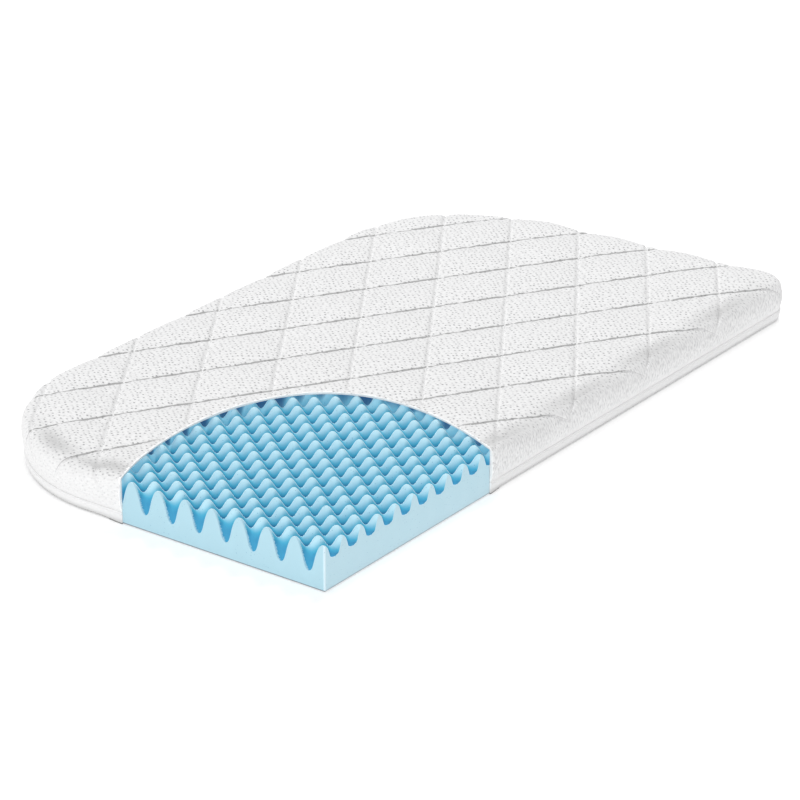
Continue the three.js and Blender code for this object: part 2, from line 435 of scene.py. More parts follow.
class Opening:
    """The curve along which both covers are cut away at the near left corner.

    It is worked out at SAMPLES places and then has points STEP apart.
    """

    STEP = 0.0015
    SAMPLES = 400

    def __init__(self, plan: Plan) -> None:
        """Draws the curve from the straight side round to the left end.

        Args:
            plan: The mattress's sizes.
        """
        self.plan = plan
        knots = np.array([
            plan.from_core(plan.cut_long, 0.0),
            plan.from_core(*plan.handle_long),
            plan.from_core(*plan.handle_short),
            plan.from_core(0.0, plan.cut_short),
        ])
        t = np.linspace(0.0, 1.0, self.SAMPLES)[:, None]
        weights = np.hstack([(1 - t) ** 3, 3 * (1 - t) ** 2 * t, 3 * (1 - t) * t * t, t ** 3])
        self.curve = spaced(weights @ knots, self.STEP)
        self.start, self.end = self.curve[0], self.curve[-1]
        self.start_on_side = np.array([self.start[0], -plan.width / 2])
        lean = plan.lean_slope * (self.end[1] + plan.width / 2)
        self.end_on_side = np.array([-plan.length / 2 + lean, self.end[1]])

    def beside(self, distance: float) -> ndarray:
        """The curve moved outwards, into the covers.

        Args:
            distance: How far it is moved.

        Returns:
            The moved curve's points.
        """
        run = np.gradient(self.curve, axis=0)
        run /= np.hypot(*run.T)[:, None]
        return self.curve + distance * np.stack([run[:, 1], -run[:, 0]], axis=1)

    def holds(self, at: ndarray) -> ndarray:
        """Whether plan places lie inside the opening.

        Args:
            at: Plan places, one row each.

        Returns:
            One truth value for each place.
        """
        far = np.array([-self.plan.length, -self.plan.width])
        polygon = np.vstack([far, [self.start[0], far[1]], self.curve, [far[0], self.end[1]]])
        return inside_polygon(at, polygon)

    def away(self, at: ndarray) -> ndarray:
        """How far plan places are from the curve."""
        return line_distance(at, self.curve[::SPARSE])

    def walk_round(self, outline: Outline, step: float) -> tuple[ndarray, ndarray]:
        """Points round the outline outside the opening, from the straight side's cut to the left end's.

        Args:
            outline: The covers' outline.
            step: Wanted distance between points.

        Returns:
            The points and their normals, one row each.
        """
        foot, normal = outline.walk(step)
        kept = ~self.holds(foot)
        first = int(np.argmax(~kept[:-1] & kept[1:])) + 1 if not kept[0] else 0
        order = [k % len(foot) for k in range(first, first + len(foot)) if kept[k % len(foot)]]
        return foot[order], normal[order]


# Meshes cut from a grid


@dataclass
class PlanMesh:
    """A flat mesh of a grid's whole cells, with triangles between them and its rim.

    Attributes:
        places: Plan points, the rim's last.
        faces: Point numbers round each face.
        rim: Numbers of the rim's points in order.
        number: Point number of each grid node, or -1.
    """

    places: ndarray
    faces: Faces
    rim: ndarray
    number: ndarray


def clip_grid(grid: ndarray, clearance: ndarray, rim: ndarray, margin: float) -> PlanMesh:
    """Cuts a grid to a rim.

    Args:
        grid: Plan places, by row and column.
        clearance: How far inside the rim each place is.
        rim: The rim's points, counter-clockwise.
        margin: Cells nearer to the rim than this are left out, and triangles fill their place.

    Returns:
        The cut mesh.
    """
    inside = clearance > margin
    cells = inside[:-1, :-1] & inside[:-1, 1:] & inside[1:, 1:] & inside[1:, :-1]
    padded = np.pad(cells, 1)
    used = padded[:-1, :-1] | padded[:-1, 1:] | padded[1:, 1:] | padded[1:, :-1]
    number = np.full(inside.shape, -1)
    number[used] = np.arange(used.sum())
    rows, columns = np.nonzero(cells)
    quads = np.stack([number[rows + i, columns + j] for i, j in ((0, 0), (0, 1), (1, 1), (1, 0))], axis=1)
    step_x, step_y = grid[0, 1] - grid[0, 0], grid[1, 0] - grid[0, 0]
    if step_x[0] * step_y[1] - step_x[1] * step_y[0] < 0:
        quads = quads[:, ::-1]
    places = np.vstack([grid[used], rim])
    rim_ids = np.arange(used.sum(), len(places))
    directed = {(int(a), int(b)) for quad in quads for a, b in zip(quad, np.roll(quad, -1))}
    border = [(a, b) for a, b in directed if (b, a) not in directed]
    faces = [tuple(map(int, quad)) for quad in quads]
    faces += fill_between(places, border, rim_ids)
    return PlanMesh(places, faces, rim_ids, number)


def fill_between(places: ndarray, border: Edges, rim: ndarray) -> Faces:
    """Triangles between a mesh's border and the rim round it.

    Args:
        places: All plan points.
        border: The mesh's border edges.
        rim: Numbers of the rim's points in order.

    Returns:
        The triangles as point numbers, counter-clockwise.
    """
    ids = sorted({a for edge in border for a in edge}) + rim.tolist()
    local = {point: k for k, point in enumerate(ids)}
    rim_edges = list(zip(rim.tolist(), np.roll(rim, -1).tolist()))
    fixed = [(local[a], local[b]) for a, b in border + rim_edges]
    inside_only, points = 1, [Vector(places[k]) for k in ids]
    made = geometry.delaunay_2d_cdt(points, fixed, [], inside_only, SAME_POINT, True)
    back = [ids[origin[0]] if origin else -1 for origin in made[3]]
    triangles = [tuple(back[k] for k in face) for face in made[2]]
    middles = np.array([places[list(face)].mean(axis=0) for face in triangles])
    inside = inside_polygon(middles, places[rim])
    triangles = [face for face, kept in zip(triangles, inside)
                 if kept and triangle_area(places[list(face)]) > SMALLEST_AREA]
    walls = {frozenset(edge) for edge in border + rim_edges}
    beside: dict[frozenset, list[int]] = {}
    for k, face in enumerate(triangles):
        for a, b in zip(face, face[1:] + face[:1]):
            beside.setdefault(frozenset((a, b)), []).append(k)
    todo = [k for edge in rim_edges for k in beside.get(frozenset(edge), [])]
    found = set(todo)
    while todo:
        face = triangles[todo.pop()]
        for a, b in zip(face, face[1:] + face[:1]):
            edge = frozenset((a, b))
            if edge in walls:
                continue
            fresh = [k for k in beside[edge] if k not in found]
            found.update(fresh)
            todo.extend(fresh)
    return [triangles[k] for k in sorted(found)]


# The quilted cover


@dataclass(frozen=True)
class Quilting:
    """The diamond lattice in which the cover is sewn.

    A place in the lattice is a pair of values, and a line of stitches runs where either is a whole number.

    Attributes:
        diamond: Length of a diamond along the mattress and its width across.
        node: Place of one crossing of the lines.
        steps: Places of the cloth's points in the half of a diamond beside a line, in lattice values.
        pillow_rise: Height of the pillows before the cloth is blown up.
        pillow_power: How flat the pillows are on top.
        rising_share: How deep the rising lines are beside the falling ones.
    """

    diamond: Pair = (0.1474, 0.0942)
    node: Pair = (0.0504, -0.018)
    steps: tuple[float, ...] = (0.0, 0.009, 0.021, 0.041, 0.072, 0.118, 0.182, 0.262, 0.345, 0.425)
    pillow_rise: float = 0.0032
    pillow_power: float = 0.6
    rising_share: float = 0.65

    @property
    def side(self) -> float:
        """Length of a diamond's side."""
        return math.hypot(*self.diamond) / 2

    @property
    def spacing(self) -> float:
        """Distance between neighbouring parallel lines."""
        return self.diamond[0] * self.diamond[1] / math.hypot(*self.diamond)

    def values(self, at: ndarray) -> tuple[ndarray, ndarray]:
        """Lattice values of cloth places: whole on the falling lines, and whole on the rising lines."""
        along, across = np.moveaxis((at - self.node) / self.diamond, -1, 0)
        return along + across, along - across

    def places(self, falling: ndarray, rising: ndarray) -> ndarray:
        """Cloth places of lattice values."""
        steps = np.stack([falling + rising, falling - rising], axis=-1) / 2
        return self.node + steps * self.diamond

    def pillow(self, at: ndarray) -> ndarray:
        """Height of a pillow's crown at cloth places, from 0 on a line to 1 in a diamond's middle."""
        falling, rising = (np.abs(np.sin(math.pi * value)) ** self.pillow_power for value in self.values(at))
        return falling * (1 - self.rising_share * (1 - rising))

    def line_values(self, low: float, high: float) -> ndarray:
        """Lattice values at which the cloth has points: close together beside each line of stitches.

        Args:
            low: The lowest value wanted.
            high: The highest value wanted.

        Returns:
            The values in order.
        """
        half = list(self.steps) + [0.5] + [1 - step for step in reversed(self.steps[1:])]
        first, last = math.floor(low), math.ceil(high)
        return np.array([k + step for k in range(first, last) for step in half] + [float(last)])


class EdgeProfile:
    """How the cloth runs from the top over the edge and down to the seam.

    Cloth reach is the distance along the cloth from a line above the outline, positive down the side. The
    tables run from FLAT inside that line to DEEPEST below it, in rows for LEVELS roundnesses up to ROUNDEST.
    """

    FLAT = 0.060
    DEEPEST = 0.045
    STEP = 0.00025
    BLEND = 0.006
    LEVELS = 17
    ROUNDEST = 1.35
    EDGE_POINTS = 120
    SIDE_POINTS = 30

    def __init__(self, plan: Plan) -> None:
        """Tabulates the profile for edges from square to fully round.

        Args:
            plan: The mattress's sizes.
        """
        self.plan = plan
        self.squares = np.linspace(plan.shoulder, self.ROUNDEST, self.LEVELS)
        self.reaches = np.arange(-self.FLAT, self.DEEPEST, self.STEP)
        tables = [self._profile(square) for square in self.squares]
        self.insets = np.array([np.interp(self.reaches, reach, inset) for reach, inset, _ in tables])
        self.heights = np.array([np.interp(self.reaches, reach, height) for reach, _, height in tables])
        self.seams = np.array([reach[-1] for reach, _, _ in tables])

    def top_height(self, inset: ndarray, held: float | ndarray) -> ndarray:
        """Height of the sewn lines on top, which droops towards the edge."""
        plan = self.plan
        return plan.channel_height - plan.top_droop * held * np.exp(-inset / plan.droop_reach)

    def _profile(self, square: float) -> tuple[ndarray, ndarray, ndarray]:
        """One profile, from the flat top to the seam.

        Args:
            square: How round the edge is, 1 being as round as the plan has it.

        Returns:
            Reach, inset and height of its points.
        """
        plan = self.plan
        held = min(1.0, (square - plan.shoulder) / (1 - plan.shoulder))
        angle = np.linspace(0.0, math.pi / 2, self.EDGE_POINTS)
        inset = plan.edge_radius * square * (1 - np.cos(angle))
        height = plan.belly_height + plan.edge_rise * np.sin(angle)
        deep = np.linspace(inset[-1], self.FLAT, self.EDGE_POINTS)[1:]
        inset = np.concatenate([inset, deep])
        height = np.concatenate([height, np.full(len(deep), height[-1])])
        height = soft_min(height, self.top_height(inset, held), self.BLEND)
        down = np.linspace(1.0, 0.0, self.SIDE_POINTS)[:-1]
        side = plan.belly_height - (plan.belly_height - plan.seam_height) * down
        inset = np.concatenate([plan.seam_draw * down ** 2, inset])[::-1]
        height = np.concatenate([side, height])[::-1]
        steps = np.hypot(np.diff(inset), np.diff(height))
        return -self.FLAT + np.concatenate([[0.0], np.cumsum(steps)]), inset, height

    def _level(self, square: ndarray) -> tuple[ndarray, ndarray]:
        """Where roundnesses lie in the tables.

        Args:
            square: How round the edge is at each place.

        Returns:
            The row below each, and the share of the next row.
        """
        row = (np.asarray(square) - self.squares[0]) / (self.squares[1] - self.squares[0])
        low = np.clip(row.astype(int), 0, self.LEVELS - 2)
        return low, np.clip(row - low, 0.0, 1.0)

    def at(self, reach: ndarray, square: ndarray) -> tuple[ndarray, ndarray]:
        """Where places on the cloth lie in the edge's section.

        Args:
            reach: Their cloth reaches.
            square: How round the edge is at each of them.

        Returns:
            Inset from the outline, and height.
        """
        low, share = self._level(square)
        column = np.clip((reach - self.reaches[0]) / self.STEP, 0, len(self.reaches) - 1.001)
        left = column.astype(int)
        part = column - left

        def read(table: ndarray) -> ndarray:
            """Value of a table between four of its entries."""
            rows = (table[row, left] * (1 - part) + table[row, left + 1] * part for row in (low, low + 1))
            return next(rows) * (1 - share) + next(rows) * share

        return read(self.insets), read(self.heights)

    def seam_reach(self, square: ndarray) -> ndarray:
        """Cloth reach of the seam."""
        low, share = self._level(square)
        return self.seams[low] * (1 - share) + self.seams[low + 1] * share

    def reach_at_inset(self, inset: float) -> float:
        """Cloth reach on the top at an inset, where the edge is square."""
        rising = self.heights[0] > self.plan.belly_height
        return float(np.interp(-inset, -self.insets[0][rising], self.reaches[rising]))


@dataclass(frozen=True)
class ClothSim:
    """How the cloth between the sewn lines is blown up.

    Attributes:
        frames: Frames that the simulation runs.
        cap: Largest move that is kept.
        weights: Steps between a free point and a held one.
        settings: Settings of the cloth modifier, by name.
    """

    frames: int = 20
    cap: float = 0.0030
    weights: int = 20
    settings: tuple[tuple[str, float], ...] = (
        ("quality", 6), ("mass", 0.15), ("tension_stiffness", 18), ("compression_stiffness", 18),
        ("shear_stiffness", 8), ("bending_stiffness", 0.4), ("tension_damping", 12),
        ("compression_damping", 12), ("shear_damping", 12), ("air_damping", 3), ("pin_stiffness", 3),
        ("shrink_min", -0.010), ("use_pressure", True), ("uniform_pressure_force", 5.0),
    )

    def set_up(self, modifier: bpy.types.ClothModifier, held: str) -> None:
        """Gives a cloth modifier these settings.

        Args:
            modifier: The modifier.
            held: Name of the group of held points.
        """
        for name, value in (*self.settings, ("vertex_group_mass", held)):
            setattr(modifier.settings, name, value)
        modifier.settings.effector_weights.gravity = 0.0
        modifier.collision_settings.use_collision = False
        modifier.point_cache.frame_start = 1
        modifier.point_cache.frame_end = self.frames


@dataclass(frozen=True)
class Dips:
    """The soft dips along the top edge, at the opened end and along the straight side; the material paints
    shade in them.

    Attributes:
        depth: How deep they are.
        reach: How wide they are.
        middles: Where their middles lie beyond the outline, at the end and along the side.
        end: Places along the mattress between which the end's dip grows.
        front: Places across it between which the end's dip grows.
        side: Places across the mattress between which the side's dip grows.
        right: Places along it between which the side's dip grows.
        side_share: Depth of the side's dip beside the end's.
        least: Share of the depth that stays on the falling lines.
    """

    depth: float = 0.0034
    reach: float = 0.0100
    middles: Pair = (-0.019, -0.012)
    end: Pair = (-0.24, -0.30)
    front: Pair = (0.205, 0.155)
    side: Pair = (-0.16, -0.21)
    right: Pair = (0.42, 0.37)
    side_share: float = 0.8
    least: float = 0.3

    def share(self, reach: ndarray, foot: ndarray, falling: ndarray) -> ndarray:
        """Share of the full depth at places on the cloth.

        Args:
            reach: How far outside the outline they lie.
            foot: The nearest places on the outline.
            falling: Their values that are whole on the falling lines.

        Returns:
            One share for each place.
        """
        x, y = foot.T
        parts = (eased(x, *self.end) * eased(y, *self.front),
                 self.side_share * eased(y, *self.side) * eased(x, *self.right))
        between = self.least + (1 - self.least) * np.abs(np.sin(math.pi * falling))
        at_end, at_side = (part * np.exp(-(((reach - middle) / self.reach) ** 2))
                           for part, middle in zip(parts, self.middles))
        return between * np.maximum(at_end, at_side)


@dataclass
class QuiltedCover:
    """The white quilted cover: one piece over the top and down the sides to the seam.

    Attributes:
        rim_step: Distance between points along the seam.
        rim_margin: Width of the strip of triangles along the rim.
        far_side: Places across the mattress between which the edge becomes squarer.
        far_square: How much squarer the edge is along the far side.
        end_side: Places along the mattress between which the edge becomes rounder.
        taper: Distance from the cut over which the pillows rise.
        at_cut: Share of the quilting's depth that stays at the cut.
        fade_low: Height on the side at which a line of stitches ends.
        fade_high: Height at which it has its full depth.
        pucker: Height of the small gathers beside the stitches.
        pucker_reach: How far the gathers reach from the stitches.
        pucker_waves: Pace along the line, share of the phase and height of each wave of the gathers.
        crease_depth: How deep the stitches draw the cloth in, for each direction.
        crease_reach: How far beside the stitches the cloth is drawn in.
        core_edge: Distance from the core's hidden rim over which the dips begin.
        leaning: Upright parts of the normals between which cloth goes from lying to standing.
        line_start: Distances from the cut's end on the left between which the painted crease shade and light
            of the lines begin.
    """

    plan: Plan
    outline: Outline
    opening: Opening
    quilting: Quilting = field(default_factory=Quilting)
    sim: ClothSim = field(default_factory=ClothSim)
    soft_dips: Dips = field(default_factory=Dips)
    rim_step: float = 0.0042
    rim_margin: float = 0.0016
    far_side: Pair = (0.08, 0.21)
    far_square: float = 0.55
    end_side: Pair = (-0.28, -0.38)
    taper: float = 0.016
    at_cut: float = 0.25
    fade_low: float = 0.019
    fade_high: float = 0.046
    pucker: float = 0.00024
    pucker_reach: float = 0.009
    pucker_waves: tuple[Triple, ...] = ((620, 1, 1), (391, 2.3, 0.7), (1013, 4.1, 0.6))
    crease_depth: Pair = (0.0022, 0.0016)
    crease_reach: float = 0.0024
    core_edge: float = 0.012
    leaning: Pair = (0.88, 0.38)
    line_start: Pair = (0.018, 0.030)

    CUT_STEP = 0.0024
    ON_LINE = 2e-5
    NEAR_START = 0.001
    NEAR_END = 0.004

    def __post_init__(self) -> None:
        """Prepares the edge profile and the height of the core's room."""
        self.profile = EdgeProfile(self.plan)
        self.core_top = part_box("foam_core")[1].z + self.plan.core_clearance

    # Places on the cloth

    def square_at(self, foot: ndarray) -> ndarray:
        """How round the edge is at outline places.

        It is squarer along the far side, rounder at the opened end, and squarest beside the cut, where the
        core holds it up.

        Args:
            foot: Places on the outline, one row each.

        Returns:
            One roundness for each place.
        """
        opening, plan = self.opening, self.plan
        cuts = (opening.start_on_side, opening.end_on_side)
        away = np.min([np.hypot(*(foot - cut).T) for cut in cuts], axis=0)
        far = eased(foot[:, 1], *self.far_side)
        end = eased(foot[:, 0], *self.end_side) * (1 - far)
        free = 1 + (EdgeProfile.ROUNDEST - 1) * end - self.far_square * far
        return plan.shoulder + (free - plan.shoulder) * smooth(away / plan.shoulder_reach)

    def surface(self, cloth: ndarray) -> ndarray:
        """Places in space of cloth places, before the pillows rise.

        Args:
            cloth: Places on the cloth laid flat, one row each.

        Returns:
            Places in space, one row each.
        """
        reach, foot, normal = self.outline.nearest(cloth)
        square = self.square_at(foot)
        inset, height = self.profile.at(reach, square)
        at = foot - normal * inset[:, None]
        deep = reach < -self.profile.FLAT
        at[deep] = cloth[deep]
        height[deep] = self.profile.top_height(-reach[deep], 1.0)
        return np.column_stack([at, height])

    def cut_line(self) -> ndarray:
        """The cut on the cloth laid flat.

        Returns:
            Its points, up the straight side, over the top and down the left end.
        """
        profile, plan = self.profile, self.plan
        top = profile.reach_at_inset(plan.core_inset)
        down = np.linspace(profile.seams[0], top, 40)
        start = self.opening.start_on_side + np.outer(down, (0.0, -1.0))
        end = self.opening.end_on_side + np.outer(down[::-1], plan.end_facing)
        middle = self.opening.curve[1:-1].copy()
        reach, foot, normal = self.outline.nearest(middle)
        near = -reach < profile.FLAT
        moved = np.array([profile.reach_at_inset(-value) for value in reach[near]])
        middle[near] = foot[near] + normal[near] * moved[:, None]
        return spaced(np.vstack([start, middle, end]), self.CUT_STEP)

    def seam_line(self) -> ndarray:
        """The seam on the cloth laid flat.

        Returns:
            Its points, counter-clockwise from the cut on the straight side to the left end.
        """
        foot, normal = self.opening.walk_round(self.outline, self.rim_step)
        reach = self.profile.seam_reach(self.square_at(foot))
        return foot + normal * reach[:, None]

    def rim(self) -> tuple[ndarray, int]:
        """The cloth's whole rim.

        Returns:
            Its points, counter-clockwise, and how many of them lie along the seam, which come first.
        """
        cut = self.cut_line()
        seam = self.seam_line()
        gap = self.rim_step * 0.4
        seam = seam[(np.hypot(*(seam - cut[0]).T) > gap) & (np.hypot(*(seam - cut[-1]).T) > gap)]
        return np.vstack([seam, cut[::-1]]), len(seam)

    def clearance(self, at: ndarray, rim: ndarray, seam_count: int) -> ndarray:
        """How far inside the rim cloth places are.

        Args:
            at: Places on the cloth, one row each.
            rim: The rim's points.
            seam_count: How many of them lie along the seam.

        Returns:
            One distance for each place.
        """
        outside, foot, _ = self.outline.nearest(at)
        from_seam = self.profile.seam_reach(self.square_at(foot)) - outside
        cut = rim[seam_count:]
        from_cut = line_distance(at, cut)
        corner = np.array([-self.plan.length, -self.plan.width])
        opened = inside_polygon(at, np.vstack([cut, [corner[0], cut[-1][1]], corner, [cut[0][0], corner[1]]]))
        return np.minimum(from_seam, np.where(opened, -from_cut, from_cut))

    # The cloth's mesh

    def lattice_mesh(self) -> tuple[PlanMesh, Edges]:
        """The cloth laid flat, with points along every line of stitches.

        Returns:
            The mesh, and its edges that lie on a line of stitches.
        """
        quilting = self.quilting
        rim, seam_count = self.rim()
        values = np.stack(quilting.values(rim))
        falling = quilting.line_values(values[0].min(), values[0].max())
        rising = quilting.line_values(values[1].min(), values[1].max())
        grid = quilting.places(*np.meshgrid(falling, rising, indexing="ij"))
        clear = self.clearance(grid.reshape(-1, 2), rim, seam_count).reshape(grid.shape[:2])
        made = clip_grid(grid, clear, rim, self.rim_margin)
        sewn = []
        for family, lines in zip(Family, (falling, rising)):
            on_line = np.abs(lines - np.round(lines)) < self.ON_LINE
            ids = made.number[on_line] if family is Family.FALLING else made.number[:, on_line].T
            for row in ids:
                sewn += [(int(a), int(b)) for a, b in zip(row[:-1], row[1:]) if a >= 0 and b >= 0]
        return made, sewn

    def depth(self, cloth: ndarray, height: ndarray) -> ndarray:
        """How strongly the quilting shows: less low on the sides and beside the cut."""
        from_cut = smooth(self.opening.away(cloth) / self.taper)
        return eased(height, self.fade_low, self.fade_high) * (self.at_cut + (1 - self.at_cut) * from_cut)

    def held(self, flat: PlanMesh, places: ndarray, sewn: Edges) -> ndarray:
        """How firmly each point is held while the cloth is blown up.

        Args:
            flat: The cloth's mesh.
            places: Its places in space.
            sewn: Edges along the lines of stitches.

        Returns:
            One weight for each point, from 0 for free cloth to 1 on the stitches, the rim and the lower side.
        """
        weights = np.zeros(len(places))
        weights[list({point for edge in sewn for point in edge})] = 1.0
        height = places[:, 2]
        low = 0.8 * self.fade_low
        weights *= eased(height, low, low + 0.006)
        weights = np.maximum(weights, eased(height, self.fade_high, self.fade_low))
        weights[flat.rim] = 1.0
        return weights

    def blown_up(self, flat: PlanMesh, places: ndarray, sewn: Edges) -> ndarray:
        """Places after the cloth between the sewn lines is blown up by a cloth simulation.

        Args:
            flat: The cloth's mesh.
            places: Its places in space before.
            sewn: Edges along the lines of stitches.

        Returns:
            The places after, with each move kept under the cap.
        """
        piece = new_piece("cloth_trial", places, flat.faces)
        group = piece.vertex_groups.new(name="sewn")
        levels = np.round(self.held(flat, places, sewn) * self.sim.weights)
        for level in range(1, self.sim.weights + 1):
            chosen = np.nonzero(levels == level)[0].tolist()
            if chosen:
                group.add(chosen, level / self.sim.weights, "REPLACE")
        self.sim.set_up(piece.modifiers.new("cloth", "CLOTH"), group.name)
        for number in range(1, self.sim.frames + 1):
            bpy.context.scene.frame_set(number)
        mesh = evaluated_mesh(piece)
        moved = mesh_points(mesh) - places
        bpy.context.scene.frame_set(1)
        trial = piece.data
        bpy.data.objects.remove(piece)
        bpy.data.meshes.remove(trial)
        bpy.data.meshes.remove(mesh)
        far = np.maximum(np.linalg.norm(moved, axis=1), TINY)
        log.info("cloth: moves up to %.1f mm, half under %.1f mm", far.max() / MM, np.median(far) / MM)
        capped = self.sim.cap * np.tanh(far / self.sim.cap)
        return places + moved * (capped / far)[:, None]

    def gathers(self, cloth: ndarray) -> ndarray:
        """Small gathers that the stitches draw into the cloth on both sides of each line.

        Args:
            cloth: Places on the cloth, one row each.

        Returns:
            Height of the gathers at each place.
        """
        total = np.zeros(len(cloth))
        values = self.quilting.values(cloth)
        for across, along in (values, values[::-1]):
            line = np.round(across)
            away = np.abs(across - line) * self.quilting.spacing / self.pucker_reach
            run = along * self.quilting.side
            phase = line * 2.7 + 1.9 * np.sign(across - line)
            wave = sum(high * np.sin(run * pace + share * phase) for pace, share, high in self.pucker_waves)
            total += wave * np.exp(-(away ** 2)) * smooth(away / 0.25)
        return self.pucker * total

    def make(self) -> Object:
        """Makes the finished closed mesh of the cover.

        Returns:
            The cover's object.
        """
        flat, sewn = self.lattice_mesh()
        log.info("cloth: %d points, %d faces, %d sewn edges", len(flat.places), len(flat.faces), len(sewn))
        places = self.surface(flat.places)
        trial = new_piece("trial", places, flat.faces)
        normals = mesh_normals(trial.data)
        bpy.data.objects.remove(trial)
        quilting = self.quilting
        rise = quilting.pillow_rise * quilting.pillow(flat.places) * self.depth(flat.places, places[:, 2])
        places = places + normals * rise[:, None]
        places = self.blown_up(flat, places, sewn)
        piece = new_piece("quilted_top_cover", places, flat.faces)
        self._mark(piece.data, flat, sewn)
        modifier = piece.modifiers.new("finer", "SUBSURF")
        modifier.levels = modifier.render_levels = 1
        keep_evaluated(piece)
        self._refine(piece.data)
        self._close(piece.data)
        return piece

    def _mark(self, mesh: Mesh, flat: PlanMesh, sewn: Edges) -> None:
        """Stores each point's place on the flat cloth, and creases the sewn edges.

        Args:
            mesh: The cover's mesh.
            flat: The cloth laid flat.
            sewn: Edges along the lines of stitches.
        """
        cloth = mesh.attributes.new("cloth", "FLOAT2", "POINT")
        cloth.data.foreach_set("vector", flat.places.astype(np.float32).ravel())
        edges = {frozenset(edge.vertices): edge.index for edge in mesh.edges}
        creases = np.zeros(len(mesh.edges))
        creases[[edges[frozenset(edge)] for edge in sewn if frozenset(edge) in edges]] = 1.0
        store(mesh, "crease_edge", creases, "EDGE")

    @staticmethod
    def cloth_places(mesh: Mesh) -> ndarray:
        """Each point's place on the flat cloth."""
        return rows_of(mesh.attributes["cloth"].data, "vector", 2)

    def creases(self, cloth: ndarray) -> ndarray:
        """How far the stitches draw the cloth in, deepest on the lines and less for one direction.

        Args:
            cloth: Places on the cloth, one row each.

        Returns:
            How deep the cloth is drawn in at each place.
        """
        total = np.zeros(len(cloth))
        for family, value in zip(Family, self.quilting.values(cloth)):
            away = np.abs(value - np.round(value)) * self.quilting.spacing
            total = np.maximum(total, self.crease_depth[family.value] * np.exp(-away / self.crease_reach))
        return total

    def dips(self, cloth: ndarray) -> ndarray:
        """Share of the soft dips' depth at places on the cloth."""
        reach, foot, _ = self.outline.nearest(cloth)
        return self.soft_dips.share(reach, foot, self.quilting.values(cloth)[0])

    def _refine(self, mesh: Mesh) -> None:
        """Draws the cloth in along the stitches and the dips, and adds the gathers.

        Each point stores how deep it lies in a dip, which the material also darkens with painted shade, how
        strongly the painted crease shade and light of the lines show there, and how upright the cloth stands.

        Args:
            mesh: The cover's open mesh.
        """
        cloth, places, normals = self.cloth_places(mesh), mesh_points(mesh), mesh_normals(mesh)
        depth, dip = self.depth(cloth, places[:, 2]), self.dips(cloth)
        hidden = self.plan.hidden_core
        over_core = eased(self.opening.away(cloth), hidden, hidden + self.core_edge)
        upright = eased(normals[:, 2], *self.leaning)
        relief = self.gathers(cloth) * depth * (1 - upright) - self.creases(cloth) * depth ** 3
        relief -= self.soft_dips.depth * dip * over_core
        moved = places + normals * relief[:, None]
        from_end = np.hypot(*(cloth - self.opening.end_on_side).T)
        # Strength of the painted crease shade and painted light along the quilting lines, stored as sewn
        sewn = depth ** 1.2 * eased(from_end, *self.line_start) * (1 - 0.35 * upright)
        for name, values in (("dip", dip), ("sewn", sewn), ("upright", upright)):
            store(mesh, name, values)
        border = self._border_points(mesh)
        moved[border] = places[border]
        mesh.vertices.foreach_set("co", moved.astype(np.float32).ravel())
        mesh.update()

    @staticmethod
    def _border_points(mesh: Mesh) -> ndarray:
        """Numbers of the points on the mesh's open border.

        Args:
            mesh: An open mesh.

        Returns:
            The points' numbers in order.
        """
        counts: dict[tuple[int, int], int] = {}
        for polygon in mesh.polygons:
            for key in polygon.edge_keys:
                counts[key] = counts.get(key, 0) + 1
        return np.array(sorted({point for key, count in counts.items() if count == 1 for point in key}))

    def _close(self, mesh: Mesh) -> None:
        """Turns the open cloth into a closed body with a thin lip along the cut and a flat underside.

        Args:
            mesh: The cover's open mesh.
        """
        made = bmesh.new()
        made.from_mesh(mesh)
        made.verts.ensure_lookup_table()
        lip = made.verts.layers.float.new("lip")
        loop = self._border_loop(made)
        at = self.cloth_places(mesh)[[vert.index for vert in loop]]
        on_cut = line_distance(at, self.cut_line()) < self.ON_LINE
        start = int(np.argmax(on_cut & ~np.roll(on_cut, 1)))
        ordered = loop[start:] + loop[:start]
        count = int(on_cut.sum())
        along_cut, seam_low = ordered[:count], self.plan.seam_height
        for vert in ordered[count:] + [along_cut[0], along_cut[-1]]:
            vert.co.z = seam_low
        # Marks the lip, which the material paints with light
        for vert in along_cut:
            vert[lip] = 1.0
        inner = [made.verts.new(self._clamped(vert.co)) for vert in along_cut]
        pocket_at = self._pocket([vert.co.copy() for vert in inner])
        pocket = [made.verts.new(place) for place in pocket_at]
        floor = [made.verts.new(Vector((place.x, place.y, seam_low))) for place in pocket_at]
        for upper, lower in ((along_cut, inner), (inner, pocket), (pocket, floor)):
            for a, b, c, d in zip(upper[:-1], upper[1:], lower[1:], lower[:-1]):
                made.faces.new((b, a, d, c))
        made.faces.new(ordered[count - 1:] + [ordered[0], inner[0]] + floor + [inner[-1]])
        bmesh.ops.remove_doubles(made, verts=inner + pocket + floor, dist=1e-6)
        bmesh.ops.dissolve_degenerate(made, edges=made.edges[:], dist=1e-7)
        bmesh.ops.recalc_face_normals(made, faces=made.faces[:])
        for points in (along_cut, inner):
            ring = {vert for vert in points if vert.is_valid}
            for edge in {edge for vert in ring for edge in vert.link_edges if edge.other_vert(vert) in ring}:
                edge.smooth = False
        made.to_mesh(mesh)
        made.free()
        mesh.update()

    @staticmethod
    def _border_loop(made: bmesh.types.BMesh) -> list[bmesh.types.BMVert]:
        """The open border's points in order.

        Args:
            made: An open mesh.

        Returns:
            The points, one after another.
        """
        edges = [edge for edge in made.edges if edge.is_boundary]
        start = edges[0].verts[0]
        loop, previous = [start], None
        while True:
            here = loop[-1]
            following = [edge for edge in here.link_edges if edge.is_boundary and edge is not previous]
            previous = following[0]
            other = previous.other_vert(here)
            if other is start:
                return loop
            loop.append(other)

    def _clamped(self, place: Vector) -> Vector:
        """The nearest place inside the room that the core takes under the covers.

        Args:
            place: A place in space.

        Returns:
            The nearest place in that room.
        """
        room = self.plan.core_inset - self.plan.core_clearance
        at = np.array([[place.x, place.y]])
        outside, foot, normal = self.outline.nearest(at)
        if outside[0] > -room:
            at = foot - normal * room
        return Vector((at[0][0], at[0][1], min(place.z, self.core_top)))

